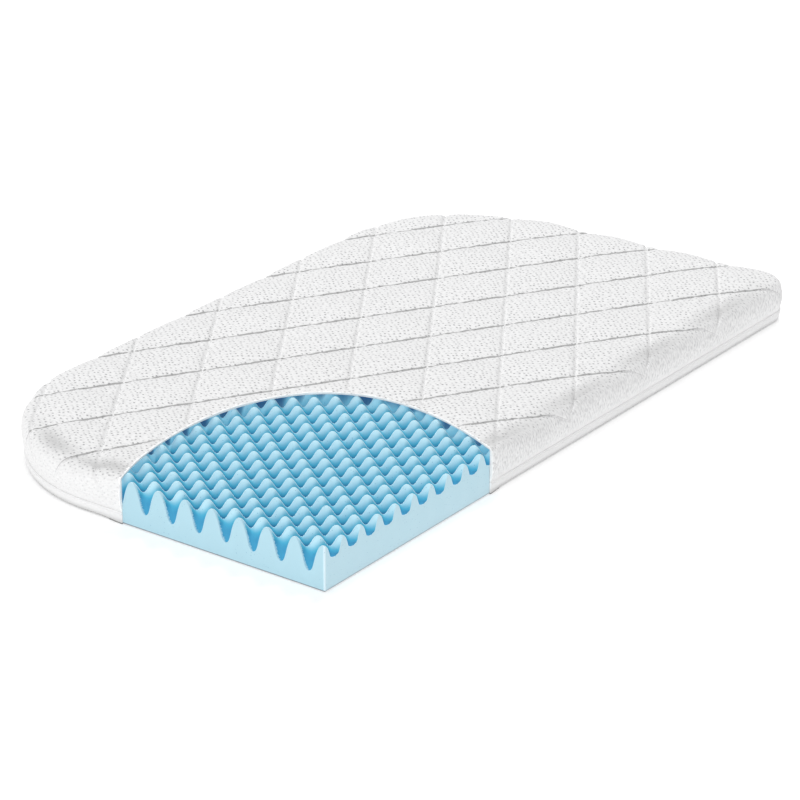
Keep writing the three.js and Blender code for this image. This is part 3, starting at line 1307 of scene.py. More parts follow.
    def _pocket(self, places: list[Vector]) -> list[Vector]:
        """Where the cloth's inside ends, round the hidden rim of the core.

        Args:
            places: Places along the inner edge of the cut.

        Returns:
            One place behind each of them.
        """
        opening, away = self.opening, []
        outwards = opening.beside(1.0) - opening.curve
        for place in places:
            at = np.array([place.x, place.y])
            if at[1] < opening.start[1] + self.NEAR_START:
                away.append((1.0, 0.0))
            elif at[1] > opening.end[1] - self.NEAR_END and at[0] < opening.end[0] + self.NEAR_START:
                away.append((self.plan.lean_slope, 1.0))
            else:
                away.append(outwards[int(np.argmin(np.hypot(*(opening.curve - at).T)))])
        depth = self.plan.hidden_core - self.plan.core_clearance
        return [self._clamped(place + depth * Vector((x, y, 0.0))) for place, (x, y) in zip(places, away)]


# The base cover


@dataclass
class BaseCover:
    """The plain cover under the mattress, turned up the side as a rolled band that ends in a fine ridge.

    Attributes:
        step: Distance between points along the outline.
        section: Height and inset of each row of the band, from the floor to the seam.
        squared: Largest inset beside the cut, where the band is cut off square.
        squared_reach: Distance from the cut over which it becomes round.
        sharp: Angle from which an edge looks sharp.
    """

    plan: Plan
    outline: Outline
    opening: Opening
    step: float = 0.004
    section: tuple[Pair, ...] = (
        (0.0, 0.0062), (0.0006, 0.0047), (0.0016, 0.0036), (0.0032, 0.0026), (0.0052, 0.0020),
        (0.0074, 0.0018), (0.0090, 0.0019), (0.0099, 0.0023), (0.0103, 0.0018), (0.0108, 0.0012),
        (0.0116, 0.0008), (0.0123, 0.0013), (0.0127, 0.0026),
    )
    squared: float = 0.0019
    squared_reach: float = 0.03
    sharp: float = math.radians(50)

    def inner_line(self) -> ndarray:
        """The wall round the core's hidden rim.

        Returns:
            Its points, from the cut on the left end to the cut on the straight side.
        """
        plan, opening = self.plan, self.opening
        depth, room = plan.hidden_core - plan.core_clearance, plan.core_inset - plan.core_clearance
        curve = opening.beside(depth)[::5]
        start = np.array([opening.start[0], -plan.width / 2 + room])
        end = np.array([opening.end_on_side[0] + room, opening.end[1]])
        across = np.array([plan.lean_slope, 1.0])
        apart = 0.002
        kept = curve[(curve[:, 1] > start[1] + apart) & (curve[:, 0] > end[0] + across[0] * depth + apart)]
        line = np.vstack([start, start + (depth, 0.0), kept, end + across * depth, end])
        return spaced_keeping_corners(line[::-1], self.step)

    def make(self) -> Object:
        """Makes the closed mesh of the base cover.

        Returns:
            The base cover's object.
        """
        opening = self.opening
        foot, normal = opening.walk_round(self.outline, self.step)
        foot = np.vstack([opening.start_on_side, foot, opening.end_on_side])
        normal = np.vstack([(0.0, -1.0), normal, self.plan.end_facing])
        away = np.minimum(np.hypot(*(foot - foot[0]).T), np.hypot(*(foot - foot[-1]).T))
        inner = self.inner_line()
        rows = []
        for height, inset in self.section:
            square = min(inset, self.squared)
            drawn = square + (inset - square) * smooth(away / self.squared_reach)
            ring = np.vstack([foot - normal * drawn[:, None], inner])
            rows.append(np.column_stack([ring, np.full(len(ring), height)]))
        count, last = len(rows[0]), (len(rows) - 1) * len(rows[0])
        faces = [tuple(range(count))[::-1]]
        for low in range(0, last, count):
            faces += [(low + k, low + j, low + count + j, low + count + k)
                      for k, j in zip(range(count), [*range(1, count), 0])]
        faces.append(tuple(range(last, last + count)))
        piece = new_piece("base_band", np.vstack(rows), faces)
        sharpen(piece.data, self.sharp)
        return piece


def spaced_keeping_corners(line: ndarray, step: float) -> ndarray:
    """Adds points to a line's long steps, and keeps all its own points.

    Args:
        line: Points in order.
        step: Wanted distance between points.

    Returns:
        Points along the line.
    """
    made = [line[0]]
    for start, end in zip(line[:-1], line[1:]):
        count = max(1, int(round(np.hypot(*(end - start)) / step)))
        made += [start + (end - start) * k / count for k in range(1, count + 1)]
    return np.array(made)


def sharpen(mesh: Mesh, angle: float) -> None:
    """Marks the edges that turn by more than an angle as sharp.

    Args:
        mesh: A closed mesh.
        angle: The angle.
    """
    made = bmesh.new()
    made.from_mesh(mesh)
    for edge in made.edges:
        edge.smooth = len(edge.link_faces) == 2 and edge.calc_face_angle(0.0) < angle
    made.to_mesh(mesh)
    made.free()


# The foam core


@dataclass
class FoamCore:
    """The blue foam block with its egg-crate top, as far as it shows and a little under the covers.

    Attributes:
        peak: Height of the peaks.
        pit: Height of the pits where the short face cuts them.
        field_pit: Height of the other pits.
        across: Share of the depth that lies between one wavy ridge and the next, rather than along a ridge.
        fullness: How full and round the peaks and pits are.
        long_rise: How much shallower the pits are where the long face cuts them.
        pitch_x: Distance between peaks along the straight side.
        pitch_y: Distance between peaks across the mattress.
        first: Place of the first peak, from the corner.
        cell: Distance between points of the egg-crate top.
        clearance: Room between the hidden rim and the covers.
        deep_reach: Distance from the short face over which the cut pits reach deeper.
        long_reach: Distance from the long face over which they are shallower.
        corner_reach: Distance from the corner over which either change begins.
        hidden_rise: Distances beyond the cut between which the hidden rim rises to the peaks' height.
        lee: Direction, over the plan, in which falling slopes get painted shade.
        tone_across: Share by which the painted light and shade follows the distance from a ridge's line,
            rather than along it.
        tone_shade: Share by which the painted light and shade follows the neighbours' shadow.
        light_turns: Turn from the lee's other side, and weight, of each direction that the light comes from.
        light_steps: First, last and step of the distances at which a neighbour may shade.
        light_slopes: Rises of a neighbour between which its shade grows.
        foot: Inset and height of the rows of points round the bottom edge.
        sharp: Angle from which an edge looks sharp.
    """

    plan: Plan
    opening: Opening
    peak: float = 0.0485
    pit: float = 0.0175
    field_pit: float = 0.0225
    across: float = 0.56
    fullness: float = 0.2
    long_rise: float = 0.0085
    pitch_x: float = 0.0292
    pitch_y: float = 0.0344
    first: Pair = (0.001, 0.0025)
    cell: float = 0.00145
    clearance: float = 0.0007
    deep_reach: float = 0.013
    long_reach: float = 0.014
    corner_reach: float = 0.008
    hidden_rise: Pair = (0.0145, 0.0170)
    lee: Pair = (0.59, -0.81)
    tone_across: float = 0.70
    tone_shade: float = 0.20
    light_turns: tuple[Pair, ...] = ((-0.7, 0.2), (-0.25, 0.3), (0.25, 0.3), (0.7, 0.2))
    light_steps: Triple = (0.0015, 0.0200, 0.0015)
    light_slopes: Pair = (0.1, 1.8)
    foot: tuple[Pair, ...] = ((0.0, 0.0011), (0.0003, 0.0004), (0.0010, 0.0))
    sharp: float = math.radians(60)

    STEEPEST = 2.5

    def core_places(self, at: ndarray) -> ndarray:
        """Distances of plan places along the core's two open faces.

        Args:
            at: Plan places.

        Returns:
            One pair of distances for each place.
        """
        y = at[..., 1] - self.plan.core_corner[1]
        x = at[..., 0] - self.plan.core_corner[0] - self.plan.lean_slope * y
        return np.stack([x, y], axis=-1)

    def waves(self, at: ndarray, across: float) -> ndarray:
        """Waves along the ridges and across them at plan places, added up with a share for those across.

        Args:
            at: Plan places.
            across: Share of the waves across.

        Returns:
            One value from -1 to 1 for each place.
        """
        x, y = np.moveaxis(self.core_places(at), -1, 0)
        turn_x = 2 * math.pi * (x - self.first[0]) / self.pitch_x
        turn_y = 2 * math.pi * (y - self.first[1]) / self.pitch_y
        return (1 - across) * np.cos(turn_x - turn_y) + across * np.cos(turn_x + turn_y)

    def egg(self, at: ndarray) -> ndarray:
        """Height of the egg-crate top, without the hidden rim's rise.

        Args:
            at: Plan places.

        Returns:
            One height for each place.
        """
        x, y = np.moveaxis(self.core_places(at), -1, 0)
        wave = self.waves(at, self.across)
        wave *= 1 + self.fullness * (1 - wave ** 2)
        low = smooth(-wave)
        height = (self.peak + self.field_pit) / 2 + (self.peak - self.field_pit) / 2 * wave
        deep = low * (1 - smooth(x / self.deep_reach)) * smooth(y / self.corner_reach)
        raised = low * (1 - smooth(y / self.long_reach)) * smooth(x / self.corner_reach)
        return height - (self.field_pit - self.pit) * deep + self.long_rise * raised

    def heights(self, at: ndarray) -> ndarray:
        """Height of the egg-crate top at plan places."""
        height = self.egg(at)
        return height + (self.peak - height) * eased(self.hidden(at), *self.hidden_rise)

    def hidden(self, at: ndarray) -> ndarray:
        """How far plan places lie under the covers, beyond the cut."""
        return np.where(self.opening.holds(at), 0.0, self.opening.away(at))

    def shadow(self, at: ndarray) -> ndarray:
        """How much the neighbouring peaks shade plan places from the light from the lee's other side.

        Args:
            at: Plan places, one row each.

        Returns:
            One share from 0 to 1 for each place.
        """
        level, shaded = self.egg(at), np.zeros(len(at))
        for turn, weight in self.light_turns:
            cosine, sine = math.cos(turn), math.sin(turn)
            towards = -np.array([[cosine, -sine], [sine, cosine]]) @ self.lee
            steepest = np.full(len(at), -1.0)
            for away in np.arange(*self.light_steps):
                there = at + towards * away
                outside = (self.core_places(there) < 0).any(axis=1)
                steepest = np.maximum(steepest, (np.where(outside, 0.0, self.egg(there)) - level) / away)
            shaded += weight * eased(steepest, *self.light_slopes)
        return shaded

    def rim(self) -> ndarray:
        """The core's whole plan outline, counter-clockwise from its open corner.

        Returns:
            Its points, one row each.
        """
        plan, opening = self.plan, self.opening
        depth = plan.hidden_core - self.clearance - plan.core_clearance
        curve = opening.beside(depth)[::3]
        place = self.core_places(curve)
        kept = curve[(place[:, 0] > 0.001) & (place[:, 1] > 0.001)]
        corner = plan.from_core(0.0, 0.0)
        start = plan.from_core(plan.cut_long + depth, 0.0)
        end = plan.from_core(0.0, plan.cut_short + depth)
        line = np.vstack([corner, start, kept, end, corner])
        return spaced_keeping_corners(line, self.cell)[:-1]

    def make(self) -> Object:
        """Makes the closed mesh of the core.

        Returns:
            The core's object.
        """
        rim = self.rim()
        size = self.core_places(rim).max(axis=0)
        x, y = (np.arange(-self.cell, reach + self.cell, self.cell) for reach in size)
        grid = self.plan.from_core(*np.meshgrid(x, y))
        nodes = grid.reshape(-1, 2)
        clear = line_distance(nodes, np.vstack([rim, rim[:1]])[::2])
        clear = np.where(inside_polygon(nodes, rim), clear, -1.0).reshape(grid.shape[:2])
        flat = clip_grid(grid, clear, rim, 0.3 * self.cell)
        top = np.column_stack([flat.places, self.heights(flat.places)])
        count = len(flat.rim)
        plan_rim = flat.places[flat.rim]
        run = np.roll(plan_rim, -1, axis=0) - np.roll(plan_rim, 1, axis=0)
        inward = np.stack([-run[:, 1], run[:, 0]], axis=1) / np.hypot(*run.T)[:, None]
        rows, walls, above = [], [], flat.rim
        for inset, height in self.foot:
            row = np.arange(count) + len(top) + count * len(rows)
            rows.append(np.column_stack([plan_rim + inward * inset, np.full(count, height)]))
            walls += np.stack([row, np.roll(row, -1), np.roll(above, -1), above], axis=1).tolist()
            above = row
        faces = flat.faces + walls + [above[::-1].tolist()]
        piece = new_piece("foam_block", np.vstack([top, *rows]), faces)
        self._mark(piece.data, len(flat.faces))
        sharpen(piece.data, self.sharp)
        return piece

    def _mark(self, mesh: Mesh, top_faces: int) -> None:
        """Stores what the foam's look depends on.

        The faces tell whether they are cut. The points tell how far they are from the nearer open face, from
        the long one and from the corner, how far they lie under the covers, how steeply the top falls to the
        lee, and the tone of their painted light and shade: light near a ridge's line, dark in a pit or in a
        neighbour's shadow.

        Args:
            mesh: The foam's mesh.
            top_faces: Count of the faces of the egg-crate top, which come first.
        """
        cut = np.zeros(len(mesh.polygons))
        cut[top_faces:] = 1.0
        store(mesh, "cut_face", cut, "FACE")
        at = mesh_points(mesh)[:, :2]
        place = self.core_places(at)
        # The lee slope, the ridge tone and the neighbours' shadow are stored for the material's painted light
        # and shade
        step = MM * np.array(self.lee)
        fall = (self.egg(at - step) - self.egg(at + step)) / (2 * MM)
        ridge = 0.5 + 0.5 * self.waves(at, self.tone_across)
        tone = (1 - self.tone_shade) * ridge + self.tone_shade * (1 - self.shadow(at))
        for name, values in (("from_face", place.min(axis=1)), ("from_long", place[:, 1]), ("tone", tone),
                             ("from_corner", np.hypot(*place.T)), ("hidden", self.hidden(at)),
                             ("lee", np.clip(fall / self.STEEPEST, -1.0, 1.0))):
            store(mesh, name, values)


# Stitches


@dataclass
class Stitching:
    """The thread that shows along the quilting lines, laid by a Geometry Nodes tree.

    Attributes:
        pitch: Distance from one stitch to the next.
        length: Length of one stitch.
        thickness: Thickness of the thread.
        sunk: How deep it lies in the cloth, for each direction.
        lowest: Height on the side below which there are no stitches.
        seed: Number that fixes the stitches' small unevenness.
    """

    pitch: float = 0.0036
    length: float = 0.0029
    thickness: float = 0.0005
    sunk: Pair = (0.0003, 0.0001)
    lowest: float = 0.030
    seed: int = 7

    ON_LINE = 2e-3

    def lines(self, cover: Object, quilting: Quilting) -> Object:
        """The quilting lines on the cover, as a mesh of edges that know which way is out.

        Args:
            cover: The finished cover.
            quilting: The diamond lattice.

        Returns:
            An object that holds the lines.
        """
        mesh = cover.data
        places, normals, cloth = mesh_points(mesh), mesh_normals(mesh), QuiltedCover.cloth_places(mesh)
        ends = np.empty(len(mesh.edges) * 2, np.int32)
        mesh.edges.foreach_get("vertices", ends)
        ends = ends.reshape(-1, 2)
        known = (np.linalg.norm(cloth, axis=1) > 0) & (places[:, 2] > self.lowest)
        starts, outwards, edges = [], [], []
        for value, sunk in zip(quilting.values(cloth), self.sunk):
            line = np.round(value)
            sewn = (np.abs(value - line) < self.ON_LINE) & known
            chosen = ends[sewn[ends].all(axis=1) & (line[ends[:, 0]] == line[ends[:, 1]])]
            used = np.unique(chosen)
            renumber = np.full(len(places), -1)
            renumber[used] = np.arange(len(used)) + sum(map(len, starts))
            starts.append(places[used] - normals[used] * sunk)
            outwards.append(normals[used])
            edges.append(renumber[chosen])
        lines = bpy.data.meshes.new("quilting_lines")
        lines.from_pydata(np.vstack(starts).tolist(), np.vstack(edges).tolist(), [])
        outward = lines.attributes.new("outward", "FLOAT_VECTOR", "POINT")
        outward.data.foreach_set("vector", np.vstack(outwards).astype(np.float32).ravel())
        return linked("quilting_stitches", lines)

    def make(self, cover: Object, quilting: Quilting, thread: Material) -> Object:
        """Makes the stitches as a plain mesh.

        Args:
            cover: The finished cover.
            quilting: The diamond lattice.
            thread: Material of the thread.

        Returns:
            The stitches' object.
        """
        piece = self.lines(cover, quilting)
        modifier = piece.modifiers.new("stitches", "NODES")
        modifier.node_group = stitch_tree()
        values = {"Pitch": self.pitch, "Length": self.length, "Thickness": self.thickness, "Seed": self.seed,
                  "Thread": thread}
        for item in modifier.node_group.interface.items_tree:
            if item.in_out == "INPUT" and item.name in values:
                modifier[item.identifier] = values[item.name]
        keep_evaluated(piece)
        return piece


class Tree:
    """A node tree that is filled by short calls."""

    def __init__(self, tree: NodeTree) -> None:
        """Empties the tree."""
        self.tree = tree
        tree.nodes.clear()

    def add(self, kind: str, inputs: dict | None = None, **settings: object) -> Node:
        """Adds a node.

        Args:
            kind: The node's type.
            inputs: Values or sockets for its inputs, by name or number.
            **settings: The node's own settings.

        Returns:
            The node.
        """
        node = self.tree.nodes.new(kind)
        for name, value in settings.items():
            setattr(node, name, value)
        for name, value in (inputs or {}).items():
            self.put(node.inputs[name], value)
        return node

    def put(self, socket: NodeSocket, value: object) -> None:
        """Links a socket to another, or sets its value.

        Args:
            socket: The input socket.
            value: The socket that it is linked to, or its value.
        """
        if isinstance(value, NodeSocket):
            self.tree.links.new(value, socket)
        else:
            socket.default_value = value

    def math(self, operation: str, *values: object) -> NodeSocket:
        """Adds a sum on numbers and gives its result."""
        return self.add("ShaderNodeMath", dict(enumerate(values)), operation=operation).outputs[0]

    def times(self, *values: object) -> NodeSocket:
        """Multiplies numbers one after another."""
        return reduce(lambda one, other: self.math("MULTIPLY", one, other), values)

    def split(self, vector: object) -> list[NodeSocket]:
        """The three numbers of a vector."""
        return list(self.add("ShaderNodeSeparateXYZ", {0: vector}).outputs)

    def joined(self, *values: object) -> NodeSocket:
        """The vector of up to three numbers."""
        return self.add("ShaderNodeCombineXYZ", dict(enumerate(values))).outputs[0]

    def scaled(self, vector: object, factor: object) -> NodeSocket:
        """A vector times a number."""
        return self.add("ShaderNodeVectorMath", {0: vector, "Scale": factor}, operation="SCALE").outputs[0]

    def stored(self, name: str) -> NodeSocket:
        """The number that the mesh stores under a name."""
        return self.add("ShaderNodeAttribute", attribute_name=name).outputs["Fac"]

    def noise(self, at: object, scale: float, detail: float, sides: str = "3D") -> NodeSocket:
        """Soft noise over places."""
        inputs = {"Vector": at, "Scale": scale, "Detail": detail}
        return self.add("ShaderNodeTexNoise", inputs, noise_dimensions=sides).outputs[0]

    def ramp(self, value: object, low: float, high: float, *ends: float) -> NodeSocket:
        """Maps a value from one range to another, which runs from 0 to 1 if not given, with soft ends."""
        inputs = dict(enumerate((value, low, high, *ends)))
        return self.add("ShaderNodeMapRange", inputs, interpolation_type="SMOOTHSTEP").outputs[0]

    def blend(self, share: object, one: object, other: object, way: str = "MIX") -> NodeSocket:
        """Mixes two colours.

        Args:
            share: Share of the second colour.
            one: The first colour, as a socket or three numbers.
            other: The second colour.
            way: How they are mixed.

        Returns:
            The mixed colour.
        """
        node = self.add("ShaderNodeMix", data_type="RGBA", blend_type=way)
        for number, value in ((0, share), (6, one), (7, other)):
            self.put(node.inputs[number], (*value, 1.0) if isinstance(value, tuple) else value)
        return node.outputs[2]

    def painted(self, colour: object, layers: dict[str, tuple[object, object]]) -> NodeSocket:
        """Paints layers over a colour, one after another.

        Args:
            colour: The colour below them.
            layers: Share and colour of each layer, by name.

        Returns:
            The painted colour.
        """
        for name, (share, tint) in layers.items():
            colour = self.blend(share, colour, tint)
            colour.node.label = name
        return colour


def grey(tone: float) -> Triple:
    """The plain grey of a tone."""
    return (tone, tone, tone)


def new_group(name: str, kind: str, inputs: dict[str, tuple[Socket, object]],
              outputs: dict[str, Socket]) -> tuple[Tree, bpy_prop_collection, bpy_prop_collection]:
    """Starts a node group with named sockets.

    Args:
        name: The group's name.
        kind: Type of the node tree.
        inputs: Kind and first value of each input.
        outputs: Kind of each output.

    Returns:
        The tree, the sockets that give its inputs and the sockets that take its outputs.
    """
    group = bpy.data.node_groups.new(name, kind)
    for label, (socket, value) in inputs.items():
        made = group.interface.new_socket(label, in_out="INPUT", socket_type=socket.value)
        if value is not None:
            made.default_value = value
    for label, socket in outputs.items():
        group.interface.new_socket(label, in_out="OUTPUT", socket_type=socket.value)
    tree = Tree(group)
    return tree, tree.add("NodeGroupInput").outputs, tree.add("NodeGroupOutput").inputs


def stitch_tree() -> NodeTree:
    """The Geometry Nodes tree that lays stitches along lines.

    Returns:
        The tree, which takes the lines, the stitches' sizes, the seed and the thread.
    """
    sizes = Stitching()
    inputs = {"Lines": (Socket.GEOMETRY, None), "Pitch": (Socket.NUMBER, sizes.pitch),
              "Length": (Socket.NUMBER, sizes.length), "Thickness": (Socket.NUMBER, sizes.thickness),
              "Thread": (Socket.MATERIAL, None), "Seed": (Socket.COUNT, sizes.seed)}
    tree, given, result = new_group("stitches along lines", "GeometryNodeTree", inputs,
                                    {"Stitches": Socket.GEOMETRY})
    spacing = {"Curve": tree.add("GeometryNodeMeshToCurve", {0: given["Lines"]}).outputs[0],
               "Length": given["Pitch"]}
    points = tree.add("GeometryNodeCurveToPoints", spacing, mode="LENGTH").outputs
    outward = tree.add("GeometryNodeInputNamedAttribute", {"Name": "outward"}, data_type="FLOAT_VECTOR")
    turn = tree.add("FunctionNodeAxesToRotation", {0: outward.outputs["Attribute"], 1: points["Tangent"]},
                    primary_axis="Z", secondary_axis="X").outputs[0]
    ball = tree.add("GeometryNodeMeshUVSphere", {"Segments": 8, "Rings": 5, "Radius": 0.5}).outputs["Mesh"]
    size = tree.joined(given["Length"], given["Thickness"], given["Thickness"])
    uneven = tree.add("FunctionNodeRandomValue", {2: 0.88, 3: 1.1, "Seed": given["Seed"]}, data_type="FLOAT")
    placed = tree.add("GeometryNodeInstanceOnPoints", {
        "Points": points["Points"], "Instance": ball, "Rotation": turn,
        "Scale": tree.scaled(size, uneven.outputs[1]),
    })
    whole = tree.add("GeometryNodeRealizeInstances", {0: placed.outputs[0]}).outputs[0]
    dressed = tree.add("GeometryNodeSetMaterial", {"Geometry": whole, "Material": given["Thread"]})
    tree.put(result[0], dressed.outputs[0])
    return tree.tree


# Materials


@dataclass(frozen=True)
class KnitFinish:
    """Look of a white knit.

    Attributes:
        name: The material's name.
        colour: Colour of the cloth.
        dimple_shade: How dark the dimples are, from 0 to 1.
        dimple_depth: How deep the dimples look.
        rib_depth: How deep the fine ribs look.
        line_shade: Strength of the painted crease shade and painted light along the quilting lines.
        roughness: How matt it is.
        sheen: How much soft light the fibres catch.
        lines: Share and tone of the painted shade, the painted light and the thin painted crease shade of the
            quilting, by name.
        line_width: Width of the thin lines of painted crease shade on lying and on upright cloth.
        band: Heights between which the plain band goes over into dimpled cloth.
        side: Heights between which the top goes over into the sides.
        front: Places across the mattress between which the straight side begins.
    """

    name: str
    colour: Triple
    dimple_shade: float
    dimple_depth: float
    rib_depth: float
    line_shade: float = 0.0
    roughness: float = 0.92
    sheen: float = 0.15
    # Painted shade and painted light beside the rising lines, and a thin painted crease shade along the
    # falling ones
    lines: tuple[tuple[str, float, float], ...] = (
        ("Painted Shade", 0.30, 0.42), ("Light", 0.40, 0.90), ("Falling Crease Shade", 1.0, 0.30),
    )
    line_width: Pair = (0.0009, 0.0005)
    band: Pair = (0.012, 0.024)
    side: Pair = (0.047, 0.030)
    front: Pair = (-0.200, -0.232)


@dataclass(frozen=True)
class FoamFinish:
    """Look of the blue foam.

    Attributes:
        name: The material's name.
        pale: Colour of the cut faces.
        crest: Colour of the peaks, as painted light.
        flank: Colour half way down, between painted light and painted shade.
        pit: Colour in the pits, as painted shade.
        mouth: Colour of the painted shade in the pits that the open faces cut.
        pore: How dark the pores are.
        rim: How bright the painted highlight on the ridges' rims is.
        rim_highlight: Colour of the painted highlight on the rims.
        speck: Colour of the pores.
        lee: How much painted shade darkens the slopes that face the lee.
        flanks: Tones between which the pits go over into the flanks.
        crests: Tones between which the flanks go over into the crests.
        roughness: How matt it is.
    """

    name: str
    pale: Triple
    crest: Triple
    flank: Triple
    pit: Triple
    mouth: Triple
    pore: float
    rim: float
    rim_highlight: Triple
    speck: Triple = (0.06, 0.28, 0.45)
    lee: float = 0.04
    flanks: Pair = (0.33, 0.59)
    crests: Pair = (0.52, 0.88)
    roughness: float = 0.8


QUILTED = KnitFinish("white quilted knit", (0.815, 0.815, 0.817), 0.8, 0.8, 0.12, 0.8)
PLAIN = KnitFinish("white plain knit", (0.78, 0.78, 0.782), 0.0, 0.0, 0.06)
# The thread is painted a darker grey than the cloth, as shade for the creases it lies in
THREAD = KnitFinish("white thread", (0.55, 0.55, 0.56), 0.0, 0.0, 0.0, 0.0, 0.8, 0.0)
# The crest, flank and pit colours paint light and shade on one blue foam
FOAM = FoamFinish(
    "blue foam", pale=(0.435, 0.650, 0.740), crest=(0.49, 0.75, 0.86), flank=(0.070, 0.43, 0.61),
    pit=(0.006, 0.085, 0.26), mouth=(0.070, 0.38, 0.60), pore=0.4, rim=0.9, rim_highlight=(0.80, 0.93, 0.98),
)


class Dress:
    """Makes the materials and the shader groups that they share."""

    def __init__(self) -> None:
        """Makes the shared groups."""
        self.dimples = self._dimple_group()
        self.ribs = self._rib_group()
        self.pores = self._pore_group()
        # Painted crease shade and painted light along the quilting lines
        self.lines = self._line_group(Quilting())

    @staticmethod
    def _dimple_group() -> NodeTree:
        """Small staggered dimples of a knit, slightly uneven in place and depth.

        Returns:
            The group, whose mask is 1 in the middle of a dimple.
        """
        inputs = {"Cloth": (Socket.VECTOR, None), "Pitch X": (Socket.NUMBER, 0.0070),
                  "Pitch Y": (Socket.NUMBER, 0.0086), "Size X": (Socket.NUMBER, 0.0010),
                  "Size Y": (Socket.NUMBER, 0.0013), "Jitter": (Socket.NUMBER, 0.5)}
        tree, given, result = new_group("knit dimples", "ShaderNodeTree", inputs, {"Mask": Socket.NUMBER})
        x, y, _ = tree.split(given["Cloth"])
        along, across = tree.math("DIVIDE", x, given["Pitch X"]), tree.math("DIVIDE", y, given["Pitch Y"])
        lattice = tree.joined(tree.math("ADD", along, across), tree.math("SUBTRACT", along, across))
        cells = {"Vector": lattice, "Scale": 1.0, "Randomness": given["Jitter"]}
        cells = tree.add("ShaderNodeTexVoronoi", cells, voronoi_dimensions="2D").outputs
        away = tree.add("ShaderNodeVectorMath", {0: lattice, 1: cells["Position"]}, operation="SUBTRACT")
        away_x, away_y, _ = tree.split(away.outputs[0])
        scaled = []
        for operation, axis in (("ADD", "X"), ("SUBTRACT", "Y")):
            turned = tree.times(tree.math(operation, away_x, away_y), 0.5, given[f"Pitch {axis}"])
            scaled.append(tree.math("DIVIDE", turned, given[f"Size {axis}"]))
        far = tree.add("ShaderNodeVectorMath", {0: tree.joined(*scaled)}, operation="LENGTH").outputs["Value"]
        chance = tree.add("ShaderNodeSeparateColor", {0: cells["Color"]}).outputs[0]
        spot = tree.times(tree.ramp(far, 1.35, 0.35), tree.ramp(chance, -0.3, 0.9, 0.25, 1.0))
        tree.put(result[0], spot)
        return tree.tree

    @staticmethod
    def _rib_group() -> NodeTree:
        """Fine uneven upright strokes of a jersey knit.

        Returns:
            The group, which gives the strokes' height.
        """
        inputs = {"Cloth": (Socket.VECTOR, None), "Pitch": (Socket.NUMBER, 0.0016),
                  "Stretch": (Socket.NUMBER, 0.3)}
        tree, given, result = new_group("jersey ribs", "ShaderNodeTree", inputs, {"Height": Socket.NUMBER})
        x, y, _ = tree.split(given["Cloth"])
        across, along = (tree.math("DIVIDE", value, given["Pitch"]) for value in (x, y))
        strokes = tree.joined(across, tree.times(along, given["Stretch"]))
        tree.put(result[0], tree.noise(strokes, 1.0, 1.0, "2D"))
        return tree.tree

    @staticmethod
    def _line_group(quilting: Quilting) -> NodeTree:
        """Painted light and shade along the quilting: a thin uneven line of painted crease shade beside each
        falling line of stitches, and a soft painted shade and a soft painted highlight beside each rising
        one. The falling lines break where a rising one crosses them.

        Args:
            quilting: The diamond lattice.

        Returns:
            The group, which gives the strength of each mark.
        """
        inputs = {"Cloth": (Socket.VECTOR, None), "Width": (Socket.NUMBER, 0.0009)}
        outputs = {"Falling Crease Shade": Socket.NUMBER, "Painted Shade": Socket.NUMBER, "Light": Socket.NUMBER}
        tree, given, result = new_group("quilting lines", "ShaderNodeTree", inputs, outputs)
        cloth = given["Cloth"]
        along, across = (tree.math("DIVIDE", tree.math("SUBTRACT", value, node), size)
                         for value, node, size in zip(tree.split(cloth), quilting.node, quilting.diamond))
        off = []
        for operation in ("ADD", "SUBTRACT"):
            value = tree.math(operation, along, across)
            whole = tree.math("ROUND", value)
            off.append(tree.times(tree.math("SUBTRACT", value, whole), quilting.spacing))
        # Distances to the painted crease shade, the painted shade and the painted light beside the lines
        shifts = ((off[0], -0.0010), (off[1], 0.0026), (off[1], -0.0002))
        falling, shade, light = (tree.math("ABSOLUTE", tree.math("ADD", *pair)) for pair in shifts)
        uneven = tree.ramp(tree.noise(cloth, 260.0, 1.0, "2D"), 0.25, 0.75, 0.9, 1.1)
        line = tree.ramp(tree.math("DIVIDE", falling, tree.times(given["Width"], uneven)), 1.4, 0.4)
        tree.put(result["Falling Crease Shade"], tree.times(line, tree.ramp(light, 0.0003, 0.0014)))
        tree.put(result["Painted Shade"], tree.ramp(shade, 0.0026, 0.0004))
        tree.put(result["Light"], tree.ramp(light, 0.0028, 0.0010))
        return tree.tree

    @staticmethod
    def _pore_group() -> NodeTree:
        """Fine open pores of foam: sparse dark specks and a grain.

        Returns:
            The group.
        """
        inputs = {"Place": (Socket.VECTOR, None), "Pore Pitch": (Socket.NUMBER, 0.0030),
                  "Share": (Socket.NUMBER, 0.4)}
        outputs = {"Speck": Socket.NUMBER, "Grain": Socket.NUMBER}
        tree, given, result = new_group("foam pores", "ShaderNodeTree", inputs, outputs)
        scaled = tree.scaled(given["Place"], tree.math("DIVIDE", 1.0, given["Pore Pitch"]))
        cells = tree.add("ShaderNodeTexVoronoi", {"Vector": scaled, "Scale": 1.0}).outputs
        chance = tree.add("ShaderNodeSeparateColor", {0: cells["Color"]}).outputs
        chosen = tree.math("LESS_THAN", chance[0], given["Share"])
        speck = tree.math("LESS_THAN", cells["Distance"], tree.ramp(chance[1], 0.0, 1.0, 0.08, 0.2))
        tree.put(result["Speck"], tree.times(speck, chosen))
        tree.put(result["Grain"], tree.noise(given["Place"], 900.0, 2.0))
        return tree.tree

